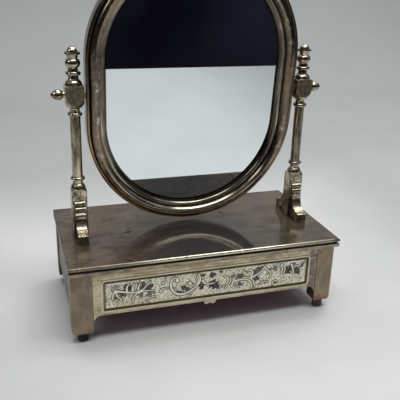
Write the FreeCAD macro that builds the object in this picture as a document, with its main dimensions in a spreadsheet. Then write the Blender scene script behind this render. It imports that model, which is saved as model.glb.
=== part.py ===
import FreeCAD, Part
import math
import os
import re

import Sketcher

# ---------------------------------------------------------------- driving dimensions (mm, degrees)

SIZES = [
    # base
    ("base_width", 250.0, "top, lip to lip, along X"),
    ("base_depth", 137.0, "top, lip to lip, along Y"),
    ("base_height", 75.3, "floor to the top surface"),
    ("lip_height", 3.4, "rolled lip round the top"),
    ("lip_round", 1.6, "radius of the lip's two edges"),
    ("quirk_height", 1.6, "undercut below the lip"),
    ("quirk_inset", 2.0, "undercut, in from the lip"),
    ("ovolo_height", 4.1, "rounded moulding below the undercut"),
    ("ovolo_inset", 0.2, "ovolo, in from the lip"),
    ("ovolo_round", 2.4, "radius of the ovolo's lower edge"),
    ("cornice_overhang", 4.0, "lip beyond the faces of the legs"),
    # legs and feet
    ("leg_width", 18.2, "leg along X"),
    ("leg_depth", 15.0, "leg along Y"),
    ("leg_side_inset", 1.2, "lip beyond the legs at the ends"),
    ("leg_corner", 4.2, "radius of the outer upright corner"),
    ("leg_toe_round", 3.0, "rounding of the leg's lower end"),
    ("foot_height", 8.6, "rubber foot"),
    ("foot_radius", 4.8, "rubber foot"),
    ("foot_round", 1.2, "rounding of the foot's lower edge"),
    ("foot_shift", 0.5, "foot, in from the middle of the leg"),
    # panels of the case
    ("panel_thickness", 3.0, "side and back panels"),
    ("panel_inset", 1.0, "panels behind the faces of the legs"),
    ("apron_height", 26.0, "floor to the lower edge of panels and drawer front"),
    ("board_thickness", 3.0, "bottom board"),
    ("board_front_inset", 7.0, "bottom board behind the drawer front"),
    ("felt_thickness", 1.0, "felt under the bottom board"),
    ("guide_height", 11.5, "drawer guides"),
    ("joint_play", 0.15, "play between the wooden pieces of the case"),
    # drawer
    ("drawer_play", 0.3, "gap round the moving drawer"),
    ("drawer_top_gap", 0.8, "cornice to the drawer front"),
    ("drawer_end_gap", 0.4, "legs to the drawer front"),
    ("drawer_front_inset", 0.5, "drawer front behind the faces of the legs"),
    ("front_thickness", 3.0, "metal drawer front"),
    ("front_board_thickness", 5.0, "wooden board behind the metal front"),
    ("drawer_side_inset", 4.0, "drawer box narrower than the front, each side"),
    ("drawer_board", 3.0, "drawer sides and back"),
    ("drawer_floor", 2.0, "drawer bottom"),
    ("drawer_rim_drop", 1.4, "drawer sides below the front's upper edge"),
    ("lining_thickness", 1.0, "velvet lining"),
    ("lining_drop", 2.0, "lining below the rim of the box"),
    ("border_side", 8.7, "plain border at the ends of the front"),
    ("border_top", 7.4, "plain border above the recess"),
    ("border_bottom", 3.7, "plain border below the recess"),
    ("recess_depth", 1.5, "recess that holds the engraved plate"),
    ("recess_round", 2.0, "corner radius of the recess"),
    ("recess_gap", 2.0, "groove round the engraved plate"),
    ("rim_width", 1.8, "raised rim round the recess"),
    ("rim_height", 0.5, "raised rim, in front of the border"),
    ("rim_round", 0.4, "radius of the rim's edges"),
    ("plate_thickness", 1.2, "engraved plate"),
    ("spandrel_drop", 7.0, "spandrels below the lower edge"),
    ("spandrel_width", 5.0, "spandrels along the lower edge"),
    ("spandrel_round", 7.2, "hollow edge of the spandrels"),
    ("pull_lobe_radius", 3.0, "each lobe of the finger pull"),
    ("pull_lobe_spacing", 5.6, "centre to centre of the lobes"),
    ("pull_thickness", 2.6, "finger pull, front to back"),
    # mirror
    ("sight_half_width", 79.8, "sight edge of the frame, half width and end radius"),
    ("sight_straight", 28.3, "half of the straight sides"),
    ("frame_width", 16.7, "moulding, sight edge to outer wall"),
    ("frame_front", 9.0, "pivot axis to the crown of the moulding"),
    ("frame_back", 8.5, "pivot axis to the back of the frame"),
    ("crown_radius", 4.0, "main round of the moulding"),
    ("crown_place", 8.9, "sight edge to the middle of the main round"),
    ("outer_bead_radius", 1.7, "round at the outer wall"),
    ("outer_bead_rise", 2.9, "pivot axis to the middle of the outer round"),
    ("outer_quirk_rise", 3.1, "pivot axis to the groove beside the outer round"),
    ("inner_quirk_rise", 3.0, "pivot axis to the groove inside the main round"),
    ("inner_bead_place", 3.0, "sight edge to the middle of the inner round"),
    ("inner_bead_radius", 1.8, "inner round"),
    ("inner_bead_curve", 3.2, "curve of the inner round's face"),
    ("inner_bead_foot", 1.2, "pivot axis to the foot of the inner round"),
    ("crown_foot", 3.6, "pivot axis to the foot of the main round"),
    ("sight_lip_rise", 0.4, "pivot axis to the lip at the sight edge, front"),
    ("glass_rise", 2.4, "pivot axis back to the glass"),
    ("glass_thickness", 3.0, "mirror glass"),
    ("rebate_width", 3.5, "rebate behind the sight edge"),
    ("glass_play", 0.3, "glass to the wall of the rebate"),
    ("mirror_drop", 1.1, "middle of the mirror below the pivots"),
    ("mirror_tilt", 5.4, "degrees, top towards the front"),
    ("swing_gap", 3.6, "lower edge of the frame to the top of the base"),
    ("back_plate_thickness", 1.2, "plate over the back"),
    ("back_plate_margin", 4.5, "outer wall to the edge of the plate"),
    ("back_screw_inset", 4.5, "edge of the plate to its screws"),
    ("back_screw_radius", 1.1, "shank of the small back screws"),
    ("back_screw_head", 2.2, "radius of their domed heads"),
    ("back_screw_rise", 0.9, "height of their heads"),
    ("back_screw_length", 5.0, "their shanks"),
    # pivots
    ("pivot_gap", 1.85, "outer wall of the frame to the pivot block"),
    ("pin_radius", 1.5, "pivot screw"),
    ("running_fit", 0.05, "radial clearance of the pivot screws"),
    ("bush_radius", 2.5, "bush in the wall of the frame"),
    ("bush_length", 7.5, "bush inside the frame"),
    ("bush_collar_radius", 3.6, "collar between frame and block"),
    ("bush_collar_length", 1.3, "collar between frame and block"),
    ("knob_gap", 0.3, "pivot block to the knob"),
    ("knob_neck_radius", 2.7, "neck of the acorn"),
    ("knob_neck_length", 1.2, "neck of the acorn"),
    ("knob_radius", 4.6, "widest part of the acorn"),
    ("knob_shoulder", 3.4, "neck to the widest part"),
    ("knob_nose", 6.9, "widest part to the tip"),
    ("knob_nose_round", 8.0, "curve of the acorn's nose"),
    ("knob_tip_round", 1.6, "rounding of the very tip"),
    # posts
    ("block_width", 15.5, "square of the pivot block"),
    ("block_round", 10.8, "largest turned radius of the block"),
    ("block_barrel", 14.0, "curve of the block's turned corners"),
    ("block_bowl", 5.0, "curve under the block"),
    ("block_dome", 6.0, "curve over the block"),
    ("block_shoulder", 8.3, "pivot axis up to the block's shoulder"),
    ("block_slope", 1.1, "fall of the shoulder towards the corners"),
    ("block_chin", 8.8, "pivot axis down to the block's chin"),
    ("block_above", 13.5, "pivot axis to the seat of the finial"),
    ("block_below", 12.5, "pivot axis to the seat on the column"),
    ("neck_radius", 4.3, "turned necks"),
    ("neck_flare", 0.45, "swelling where a neck meets a larger form"),
    ("shaft_radius", 4.55, "plain shaft of the column"),
    ("ring_radius", 6.4, "turned rings"),
    ("ring_thickness", 3.0, "turned rings"),
    ("ring_edge", 1.9, "curve of the rings' edges"),
    ("ring_place", 4.2, "column's ends to the middle of its rings"),
    ("finial_ring", 4.4, "finial's seat to its ring"),
    ("ball_place", 12.7, "finial's seat to the middle of the ball"),
    ("ball_radius", 6.4, "ball of the finial"),
    ("ball_half_height", 3.9, "ball of the finial"),
    ("ball_curve", 4.9, "radius of the ball's side"),
    ("disc_place", 20.7, "finial's seat to the thin disc"),
    ("disc_radius", 6.55, "thin disc of the finial"),
    ("disc_thickness", 2.0, "thin disc of the finial"),
    ("button_radius", 4.5, "button on top"),
    ("button_base", 22.6, "finial's seat to the foot of the dome"),
    ("button_height", 3.5, "dome of the button"),
    ("bracket_width", 13.4, "square pillar of the bracket"),
    ("bracket_corner", 9.1, "turned radius that its corners are squared from"),
    ("bracket_height", 51.0, "top of the base to the seat of the column"),
    ("pillar_height", 46.0, "pillar up to the middle of its arched faces"),
    ("arch_rise", 2.4, "arch on the faces of the pillar"),
    ("scroll_width", 8.8, "front and rear scrolls"),
    ("scroll_reach", 25.0, "post axis to the tip of each toe"),
    ("toe_height", 9.1, "toe"),
    ("toe_length", 7.6, "toe, front to back, on the base"),
    ("toe_round", 1.4, "front of the toe, lower edge"),
    ("toe_bead", 1.4, "front of the toe, upper edge"),
    ("toe_flat", 2.2, "toe, front to the start of the sweep"),
    ("arch_curve", 5.0, "arch between toe and pillar"),
    ("sweep_reach", 4.4, "pillar's face to the upper end of the sweep"),
    ("sweep_top", 23.4, "top of the base to the upper end of the sweep"),
    ("sweep_curve", 12.3, "hollow sweep from the rolls down to the toe"),
    ("roll_low", 25.2, "lower end of the two rolls"),
    ("roll_middle", 30.2, "crease between the rolls"),
    ("roll_top", 35.2, "upper end of the two rolls"),
    ("roll_curve", 2.9, "rolls"),
    ("roll_step", 0.95, "each roll's root further out than the one above"),
    ("post_screw_radius", 2.0, "screw from below into each bracket"),
    ("post_screw_head", 3.4, "its head"),
    ("post_screw_head_height", 2.2, "its head"),
    ("post_screw_grip", 14.0, "its length in the bracket"),
    ("post_screw_space", 1.5, "hole beyond the end of the screw"),
]

DERIVED = [
    ("leg_face", "base_depth / 2 - cornice_overhang"),
    ("leg_side", "base_width / 2 - leg_side_inset"),
    ("leg_inner", "leg_side - leg_width"),
    ("leg_rear", "leg_face - leg_depth"),
    ("case_top", "base_height - lip_height - quirk_height - ovolo_height"),
    ("side_panel_face", "leg_side - panel_inset"),
    ("side_panel_inside", "side_panel_face - panel_thickness"),
    ("back_panel_face", "leg_face - panel_inset"),
    ("back_panel_inside", "back_panel_face - panel_thickness"),
    ("front_half", "leg_inner - drawer_end_gap"),
    ("front_face", "leg_face - drawer_front_inset"),
    ("front_back", "front_face - front_thickness"),
    ("front_top", "case_top - drawer_top_gap"),
    ("recess_half", "front_half - border_side"),
    ("recess_low", "apron_height + border_bottom"),
    ("recess_high", "front_top - border_top"),
    ("rim_half", "recess_half + rim_width"),
    ("rim_low", "recess_low - rim_width"),
    ("rim_high", "recess_high + rim_width"),
    ("rim_corner", "recess_round + rim_width"),
    ("board_front", "front_face - board_front_inset - front_thickness"),
    ("board_top", "apron_height + board_thickness"),
    ("box_half", "front_half - drawer_side_inset"),
    ("box_bottom", "board_top + drawer_play"),
    ("box_top", "front_top - drawer_rim_drop"),
    ("box_front", "front_back - front_board_thickness"),
    ("box_back", "back_panel_inside - drawer_play"),
    ("box_wall_bottom", "box_bottom + drawer_floor"),
    ("box_wall_height", "box_top - box_wall_bottom"),
    ("guide_inner", "box_half + drawer_play"),
    ("mirror_half", "sight_half_width + frame_width"),
    ("mirror_half_height", "mirror_half + sight_straight"),
    ("pivot_rise", "mirror_half_height + mirror_drop + swing_gap"),
    ("pivot_height", "base_height + pivot_rise"),
    ("post_place", "mirror_half + pivot_gap + block_width / 2"),
    ("column_length", "pivot_rise - block_below - bracket_height"),
    ("glass_half", "sight_half_width + rebate_width - glass_play"),
    ("backing_thickness", "frame_back - glass_rise - glass_thickness"),
    ("plate_half", "mirror_half - back_plate_margin"),
    ("screw_place", "plate_half - back_screw_inset"),
    ("bush_bore", "pin_radius + running_fit"),
    ("bush_inner_end", "mirror_half - bush_length"),
    ("pin_reach", "block_width / 2 + pivot_gap + bush_length - pin_radius"),
    ("knob_start", "block_width / 2 + knob_gap"),
    ("knob_wide", "knob_start + knob_neck_length + knob_shoulder"),
    ("knob_tip", "knob_wide + knob_nose"),
    ("ring_root", "ring_radius - ring_edge + sqrt(ring_edge ^ 2 - ring_thickness ^ 2 / 4)"),
    ("disc_root", "disc_radius - ring_edge + sqrt(ring_edge ^ 2 - disc_thickness ^ 2 / 4)"),
]

doc = FreeCAD.newDocument("VanityMirror")
sheet = doc.addObject("Spreadsheet::Sheet", "Sizes")


def fill_sheet():
    """Write every driving size, then every size worked out from them, one row each."""
    rows = [(name, str(size), note) for name, size, note in SIZES]
    rows += [(name, "=" + formula, "worked out") for name, formula in DERIVED]
    for row, (name, content, note) in enumerate(rows, start=1):
        sheet.set("A%d" % row, name)
        sheet.set("B%d" % row, content)
        sheet.setAlias("B%d" % row, name)
        sheet.set("C%d" % row, note)
    doc.recompute()


# ---------------------------------------------------------------- sizes in words

TERM = re.compile(r"([+-]?)\s*([A-Za-z]\w*|[\d.]+)(?:\s*([*/])\s*([\d.]+))?")
NAME = re.compile(r"([A-Za-z]\w*)")


def value(words):
    """Number that a sum such as "leg_width / 2 - leg_corner" stands for."""
    if words.startswith("-("):
        return -value(words[2:-1])
    total = 0.0
    for sign, name, operator, factor in TERM.findall(words):
        size = float(getattr(sheet, name)) if name[0].isalpha() else float(name)
        if operator == "*":
            size *= float(factor)
        if operator == "/":
            size /= float(factor)
        total += -size if sign == "-" else size
    return total


def bound(words):
    """The same sum as an expression on the sheet's cells."""
    return NAME.sub(r"Sizes.\1", words)


def minus(words):
    """The sum with its sign turned round."""
    if words == "0":
        return words
    if words.startswith("-("):
        return words[2:-1]
    return "-(%s)" % words


def side(words, sign):
    """The sum on the positive or the negative side."""
    return words if sign > 0 else minus(words)


# ---------------------------------------------------------------- bodies and sketches

PIECES = []


def body(label, x="0", y="0", z="0", turn=None):
    """New body whose place is bound to the sheet; turn is an optional (axis, degrees)."""
    piece = doc.addObject("PartDesign::Body", label)
    piece.Label = label
    if turn:
        axis, angle = turn
        piece.Placement = FreeCAD.Placement(FreeCAD.Vector(), FreeCAD.Rotation(axis, angle))
    for letter, words in (("x", x), ("y", y), ("z", z)):
        if words != "0":
            piece.setExpression("Placement.Base." + letter, bound(words))
    PIECES.append(piece)
    return piece


def origin_plane(piece, role):
    for feature in piece.Origin.OriginFeatures:
        if feature.Role == role:
            return feature
    raise ValueError("no plane " + role)


def sketch_on(piece, role, offset="0"):
    """Empty sketch on one of the body's own planes, moved along its normal by offset."""
    sketch = piece.newObject("Sketcher::SketchObject", piece.Label + "_sketch")
    sketch.AttachmentSupport = [(origin_plane(piece, role), "")]
    sketch.MapMode = "FlatFace"
    if offset != "0":
        sketch.setExpression(".AttachmentOffset.Base.z", bound(offset))
    return sketch


def arc_between(start, end, centre, clockwise):
    """Circular arc as a sketch holds it: always anticlockwise, so the ends may swap."""
    first, last = (end, start) if clockwise else (start, end)
    angles = [math.atan2(p.y - centre.y, p.x - centre.x) for p in (first, last)]
    circle = Part.Circle(centre, FreeCAD.Vector(0, 0, 1), centre.distanceToPoint(first))
    return Part.ArcOfCircle(circle, angles[0], angles[1])


def arc_centre(start, end, rule, size, clockwise):
    """Centre of the short arc of a given radius, or of the arc whose centre lies on a line."""
    middle = (start + end) * 0.5
    along = end - start
    normal = FreeCAD.Vector(-along.y, along.x, 0).normalize()
    if rule == "radius":
        reach = math.sqrt(max(size ** 2 - (along.Length / 2) ** 2, 0.0))
        return middle - normal * reach if clockwise else middle + normal * reach
    if rule == "centre_x":
        return middle + normal * ((size - middle.x) / normal.x)
    return middle + normal * ((size - middle.y) / normal.y)


def pin_point(sketch, geometry, point, words, axis_name):
    """Hold one coordinate of a point at a size from the sheet."""
    on_axis, distance = {"x": (-2, "DistanceX"), "y": (-1, "DistanceY")}[axis_name]
    if words == "0":
        sketch.addConstraint(Sketcher.Constraint("PointOnObject", geometry, point, on_axis))
        return
    row = sketch.addConstraint(Sketcher.Constraint(distance, -1, 1, geometry, point, value(words)))
    sketch.setExpression("Constraints[%d]" % row, bound(words))


def outline(sketch, corners):
    """Closed outline of straight runs and arcs.

    A corner is (x, y) for a straight run to it, or (x, y, rule, size, turn) for an arc to it:
    rule is radius, centre_x or centre_y, and turn is left or right.
    """
    points = [FreeCAD.Vector(value(c[0]), value(c[1]), 0) for c in corners]
    ends = []
    for index, corner in enumerate(corners):
        start, end = points[index - 1], points[index]
        if len(corner) == 2:
            number = sketch.addGeometry(Part.LineSegment(start, end), False)
            ends.append((number, 1, 2))
            continue
        _, _, rule, size, turn = corner
        clockwise = turn == "right"
        centre = arc_centre(start, end, rule, value(size), clockwise)
        number = sketch.addGeometry(arc_between(start, end, centre, clockwise), False)
        ends.append((number, 2, 1) if clockwise else (number, 1, 2))
    for index, (number, start_point, _) in enumerate(ends):
        before, _, before_end = ends[index - 1]
        sketch.addConstraint(Sketcher.Constraint("Coincident", before, before_end, number, start_point))
    for (number, _, end_point), corner in zip(ends, corners):
        pin_point(sketch, number, end_point, corner[0], "x")
        pin_point(sketch, number, end_point, corner[1], "y")
        if len(corner) == 2:
            continue
        if corner[2] == "radius":
            row = sketch.addConstraint(Sketcher.Constraint("Radius", number, value(corner[3])))
            sketch.setExpression("Constraints[%d]" % row, bound(corner[3]))
        else:
            pin_point(sketch, number, 3, corner[3], corner[2][-1])


def rectangle(sketch, left, right, low, high):
    outline(sketch, [(left, low), (right, low), (right, high), (left, high)])


def centred(sketch, half_x, half_y):
    rectangle(sketch, minus(half_x), half_x, minus(half_y), half_y)


def rounded_rectangle(sketch, half, low, high, corner):
    """Rectangle about the upright axis with its four corners rounded."""
    inner, foot, head = half + " - " + corner, low + " + " + corner, high + " - " + corner
    outline(sketch, [
        (inner, low),
        (half, foot, "radius", corner, "left"),
        (half, head),
        (inner, high, "radius", corner, "left"),
        (minus(inner), high),
        (minus(half), head, "radius", corner, "left"),
        (minus(half), foot),
        (minus(inner), low, "radius", corner, "left"),
    ])


def circle(sketch, radius, x="0", y="0"):
    centre = FreeCAD.Vector(value(x), value(y), 0)
    number = sketch.addGeometry(Part.Circle(centre, FreeCAD.Vector(0, 0, 1), value(radius)), False)
    pin_point(sketch, number, 3, x, "x")
    pin_point(sketch, number, 3, y, "y")
    row = sketch.addConstraint(Sketcher.Constraint("Radius", number, value(radius)))
    sketch.setExpression("Constraints[%d]" % row, bound(radius))


def stadium(sketch, half_width, straight):
    """Two straight sides joined by two half circles, standing upright."""
    outline(sketch, [
        (half_width, straight),
        (minus(half_width), straight, "centre_y", straight, "left"),
        (minus(half_width), minus(straight)),
        (half_width, minus(straight), "centre_y", minus(straight), "left"),
    ])


def feature(piece, kind, name, sketch):
    made = piece.newObject("PartDesign::" + kind, piece.Label + "_" + name)
    made.Profile = sketch
    sketch.Visibility = False
    return made


def pad(piece, sketch, length, both_ways=False, back=False):
    made = feature(piece, "Pad", "pad", sketch)
    made.setExpression("Length", bound(length))
    made.Midplane = both_ways
    made.Reversed = back
    return made


def pocket(piece, sketch, length, both_ways=False, back=False):
    before = piece.Tip
    doc.recompute()
    volume = before.Shape.Volume
    made = feature(piece, "Pocket", "pocket", sketch)
    made.setExpression("Length", bound(length))
    made.Midplane = both_ways
    made.Reversed = back
    doc.recompute()
    if made.Shape.Volume > volume - 1e-6:
        raise ValueError("a pocket cuts nothing in " + piece.Label)
    return made


def revolution(piece, sketch, axis):
    made = feature(piece, "Revolution", "turned", sketch)
    made.ReferenceAxis = (sketch, [axis])
    made.Angle = 360.0
    return made


def edges_of(shape, wanted):
    """Names of the edges whose points all pass the test."""
    names = []
    for number, edge in enumerate(shape.Edges, start=1):
        points = edge.discretize(5)
        if all(wanted(point) for point in points):
            names.append("Edge%d" % number)
    return names


def fillet(piece, radius, wanted):
    doc.recompute()
    base = piece.Tip
    names = edges_of(base.Shape, wanted)
    if not names:
        raise ValueError("no edge to round in " + piece.Label)
    made = piece.newObject("PartDesign::Fillet", piece.Label + "_fillet")
    made.Base = (base, names)
    made.setExpression("Radius", bound(radius))
    return made


def near(a, b):
    return abs(a - b) < 1e-4


def box_piece(label, left, right, front, back, low, high):
    """Plain board between six planes."""
    piece = body(label, z=low)
    sketch = sketch_on(piece, "XY_Plane")
    rectangle(sketch, left, right, front, back)
    pad(piece, sketch, "%s - (%s)" % (high, low))
    return piece


# ---------------------------------------------------------------- base


def base_top():
    """Slab with a rolled lip, an undercut and an ovolo round its edge."""
    piece = body("base_top", z="base_height")
    layers = [
        ("0", "lip_height", "0"),
        ("lip_height", "quirk_height", "quirk_inset"),
        ("lip_height + quirk_height", "ovolo_height", "ovolo_inset"),
    ]
    for top, height, inset in layers:
        sketch = sketch_on(piece, "XY_Plane", minus(top))
        centred(sketch, "base_width / 2 - " + inset, "base_depth / 2 - " + inset)
        pad(piece, sketch, height, back=True)
    lip_low = -value("lip_height")
    ovolo_low = value("case_top - base_height")
    fillet(piece, "lip_round", lambda p: near(p.z, 0) or (near(p.z, lip_low) and on_rim(p, "0")))
    fillet(piece, "ovolo_round", lambda p: near(p.z, ovolo_low))
    holes = sketch_on(piece, "XY_Plane")
    circle(holes, "post_screw_radius + running_fit", "post_place")
    circle(holes, "post_screw_radius + running_fit", "-(post_place)")
    pocket(piece, holes, "base_height")


def on_rim(point, inset):
    """True on the upright faces of the slab at a given inset from the lip."""
    half_x = value("base_width / 2 - " + inset)
    half_y = value("base_depth / 2 - " + inset)
    return near(abs(point.x), half_x) or near(abs(point.y), half_y)


def leg(label, sign_x, sign_y):
    """Leg with a rounded outer corner and a rounded lower end; sign_y is -1 in front."""
    piece = body(label, z="foot_height")
    sketch = sketch_on(piece, "XY_Plane")
    turn = "left" if sign_x == sign_y else "right"
    corners = [
        ("leg_inner", "leg_rear"),
        ("leg_side", "leg_rear"),
        ("leg_side", "leg_face - leg_corner"),
        ("leg_side - leg_corner", "leg_face", "radius", "leg_corner", turn),
        ("leg_inner", "leg_face"),
    ]
    outline(sketch, [(side(x, sign_x), side(y, sign_y), *arc) for x, y, *arc in corners])
    pad(piece, sketch, "case_top - foot_height")
    fillet(piece, "leg_toe_round", lambda p: near(p.z, 0))


def foot(label, sign_x, sign_y):
    piece = body(
        label,
        x=side("leg_inner + leg_width / 2 - foot_shift", sign_x),
        y=side("leg_rear + leg_depth / 2 - foot_shift", sign_y),
    )
    sketch = sketch_on(piece, "XZ_Plane")
    outline(sketch, [
        ("foot_radius - foot_round", "0"),
        ("foot_radius", "foot_round", "radius", "foot_round", "left"),
        ("foot_radius", "foot_height"),
        ("0", "foot_height"),
        ("0", "0"),
    ])
    revolution(piece, sketch, "V_Axis")


def case_panels():
    """Side panels between the legs, the back panel, the bottom board and its felt."""
    span = ("-(leg_rear)", "leg_rear")
    box_piece("side_panel_left", "-(side_panel_face)", "-(side_panel_inside)", *span,
              "apron_height", "case_top")
    box_piece("side_panel_right", "side_panel_inside", "side_panel_face", *span,
              "apron_height", "case_top")
    box_piece("back_panel", "-(leg_inner)", "leg_inner", "back_panel_inside", "back_panel_face",
              "apron_height", "case_top")
    for label, low, thickness in (
        ("bottom_board", "apron_height", "board_thickness"),
        ("base_felt", "apron_height - felt_thickness", "felt_thickness"),
    ):
        piece = body(label, z=low)
        sketch = sketch_on(piece, "XY_Plane")
        wide, narrow = "side_panel_inside - joint_play", "leg_inner - joint_play"
        middle = "leg_rear - joint_play"
        front, rear = "-(board_front)", "back_panel_inside - joint_play"
        right = [(narrow, front), (narrow, minus(middle)), (wide, minus(middle)),
                 (wide, middle), (narrow, middle), (narrow, rear)]
        left = [(minus(x), y) for x, y in reversed(right)]
        outline(sketch, right + left)
        pad(piece, sketch, thickness)


def guides():
    """Wooden rails on the bottom board that keep the drawer straight."""
    ends = ("-(leg_rear - joint_play)", "leg_rear - joint_play")
    heights = ("board_top", "board_top + guide_height")
    box_piece("guide_left", "-(side_panel_inside - joint_play)", "-(guide_inner)", *ends, *heights)
    box_piece("guide_right", "guide_inner", "side_panel_inside - joint_play", *ends, *heights)


# ---------------------------------------------------------------- drawer


def drawer_front():
    """Metal front: recess with a raised rim for the plate, a hollow spandrel at each lower corner."""
    piece = body("drawer_front", y="-(front_face)")
    sketch = sketch_on(piece, "XZ_Plane")
    shoulder = "front_half - spandrel_width"
    tip = "apron_height - spandrel_drop"
    outline(sketch, [
        (shoulder, "apron_height"),
        ("front_half", tip, "radius", "spandrel_round", "right"),
        ("front_half", "front_top"),
        ("-(front_half)", "front_top"),
        ("-(front_half)", tip),
        (minus(shoulder), "apron_height", "radius", "spandrel_round", "right"),
    ])
    pad(piece, sketch, "front_thickness", back=True)
    rim = sketch_on(piece, "XZ_Plane")
    rounded_rectangle(rim, "rim_half", "rim_low", "rim_high", "rim_corner")
    pad(piece, rim, "rim_height")
    recess = sketch_on(piece, "XZ_Plane", "rim_height")
    rounded_rectangle(recess, "recess_half", "recess_low", "recess_high", "recess_round")
    pocket(piece, recess, "rim_height + recess_depth")
    face = -value("rim_height")
    fillet(piece, "rim_round", lambda p: near(p.y, face))


def drawer_plate():
    """Engraved plate that lies in the recess."""
    piece = body("drawer_plate", y="-(front_face - recess_depth)")
    sketch = sketch_on(piece, "XZ_Plane")
    half = "recess_half - recess_gap"
    rectangle(sketch, minus(half), half, "recess_low + recess_gap", "recess_high - recess_gap")
    pad(piece, sketch, "plate_thickness")


def drawer_pull():
    """Two round lobes side by side under the front's lower edge."""
    piece = body("drawer_pull", y="-(front_face)", z="apron_height")
    sketch = sketch_on(piece, "XZ_Plane")
    middle, lobe = "pull_lobe_spacing / 2", "pull_lobe_radius"
    outline(sketch, [
        (middle + " + " + lobe, "0", "centre_x", middle, "left"),
        ("-(%s + %s)" % (middle, lobe), "0"),
        ("0", "-(pull_lobe_radius / 2)", "centre_x", minus(middle), "left"),
    ])
    pad(piece, sketch, "pull_thickness", back=True)


def drawer_box():
    """Wooden box behind the front: front board, bottom, two sides and a back."""
    box_piece("drawer_front_board", "-(box_half)", "box_half", "-(front_back)", "-(box_front)",
              "box_bottom", "box_top")
    box_piece("drawer_bottom", "-(box_half)", "box_half", "-(box_front)", "box_back",
              "box_bottom", "box_wall_bottom")
    walls = ("box_wall_bottom", "box_top")
    box_piece("drawer_side_left", "-(box_half)", "-(box_half - drawer_board)",
              "-(box_front)", "box_back", *walls)
    box_piece("drawer_side_right", "box_half - drawer_board", "box_half",
              "-(box_front)", "box_back", *walls)
    box_piece("drawer_back", "-(box_half - drawer_board)", "box_half - drawer_board",
              "box_back - drawer_board", "box_back", *walls)


def drawer_lining():
    """Velvet tray that lines the box."""
    piece = body("drawer_lining", z="box_wall_bottom")
    half = "box_half - drawer_board"
    front, rear = "-(box_front)", "box_back - drawer_board"
    outer = sketch_on(piece, "XY_Plane")
    rectangle(outer, minus(half), half, front, rear)
    pad(piece, outer, "box_wall_height - lining_drop")
    inner = sketch_on(piece, "XY_Plane", "lining_thickness")
    half_inside = half + " - lining_thickness"
    rectangle(inner, minus(half_inside), half_inside,
              "-(box_front - lining_thickness)", rear + " - lining_thickness")
    pocket(piece, inner, "box_wall_height", back=True)


# ---------------------------------------------------------------- posts


def ring(middle, root="ring_root", thickness="ring_thickness"):
    """Turned ring with a rounded edge, going up."""
    half = thickness + " / 2"
    return [
        (root, "%s - %s" % (middle, half)),
        (root, "%s + %s" % (middle, half), "radius", "ring_edge", "left"),
    ]


def bracket(label, sign):
    """Cast bracket: square pillar under a turned dome, with a scroll in front and behind."""
    piece = body(label, x=side("post_place", sign), z="base_height")
    turned = sketch_on(piece, "XZ_Plane")
    dome = ("radius", "bracket_width / 2", "left")
    outline(turned, [
        ("0", "0"),
        ("bracket_corner", "0"),
        ("bracket_corner", "pillar_height - arch_rise"),
        ("bracket_width / 2", "pillar_height", *dome),
        ("neck_radius + neck_flare", "bracket_height - neck_flare * 2", *dome),
        ("neck_radius", "bracket_height"),
        ("0", "bracket_height"),
    ])
    revolution(piece, turned, "V_Axis")
    square_off(piece, "bracket_width", "pillar_height")
    scroll = sketch_on(piece, "YZ_Plane")
    outline(scroll, scroll_outline())
    pad(piece, scroll, "scroll_width", both_ways=True)
    hole = sketch_on(piece, "XY_Plane")
    circle(hole, "post_screw_radius + running_fit")
    pocket(piece, hole, "post_screw_grip + post_screw_space", back=True)


def scroll_outline():
    """Side view of both scrolls: two rolls, a hollow sweep, the toe and an arch beneath."""
    pillar = "bracket_width / 2"
    half = [
        ("scroll_reach - toe_length", "0", "radius", "arch_curve", "right"),
        ("scroll_reach - toe_round", "0"),
        ("scroll_reach", "toe_round", "radius", "toe_round", "left"),
        ("scroll_reach", "toe_height - toe_bead"),
        ("scroll_reach - toe_bead", "toe_height", "radius", "toe_bead", "left"),
        ("scroll_reach - toe_flat", "toe_height"),
        (pillar + " + sweep_reach", "sweep_top", "radius", "sweep_curve", "right"),
        (pillar + " + roll_step * 3", "roll_low"),
        (pillar + " + roll_step * 2", "roll_middle", "radius", "roll_curve", "left"),
        (pillar + " + roll_step", "roll_top", "radius", "roll_curve", "left"),
    ]
    start = (pillar + " + roll_step * 2", "0")
    mirrored = [(minus(half[-1][0]), "roll_top")]
    for nearer, further in zip(reversed([start] + half[:-1]), reversed(half)):
        mirrored.append((minus(nearer[0]), nearer[1]) + further[2:])
    return [start] + half + mirrored


def square_off(piece, width, reach):
    """Cut the turned form back to a square prism round its axis."""
    sketch = sketch_on(piece, "XY_Plane")
    centred(sketch, width + " / 2", width + " / 2")
    centred(sketch, width, width)
    pocket(piece, sketch, reach + " * 2", both_ways=True)


def column(label, sign):
    """Turned column: a ring near each end of a plain shaft."""
    piece = body(label, x=side("post_place", sign), z="base_height + bracket_height")
    sketch = sketch_on(piece, "XZ_Plane")
    low = "ring_place"
    high = "column_length - ring_place"
    half = "ring_thickness / 2"
    outline(
        sketch,
        [("0", "0"), ("neck_radius", "0")]
        + [("neck_radius", "%s - %s" % (low, half))]
        + ring(low)
        + [("shaft_radius", "%s + %s" % (low, half)), ("shaft_radius", "%s - %s" % (high, half))]
        + ring(high)
        + [("neck_radius", "%s + %s" % (high, half)), ("neck_radius", "column_length")]
        + [("0", "column_length")],
    )
    revolution(piece, sketch, "V_Axis")


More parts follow.
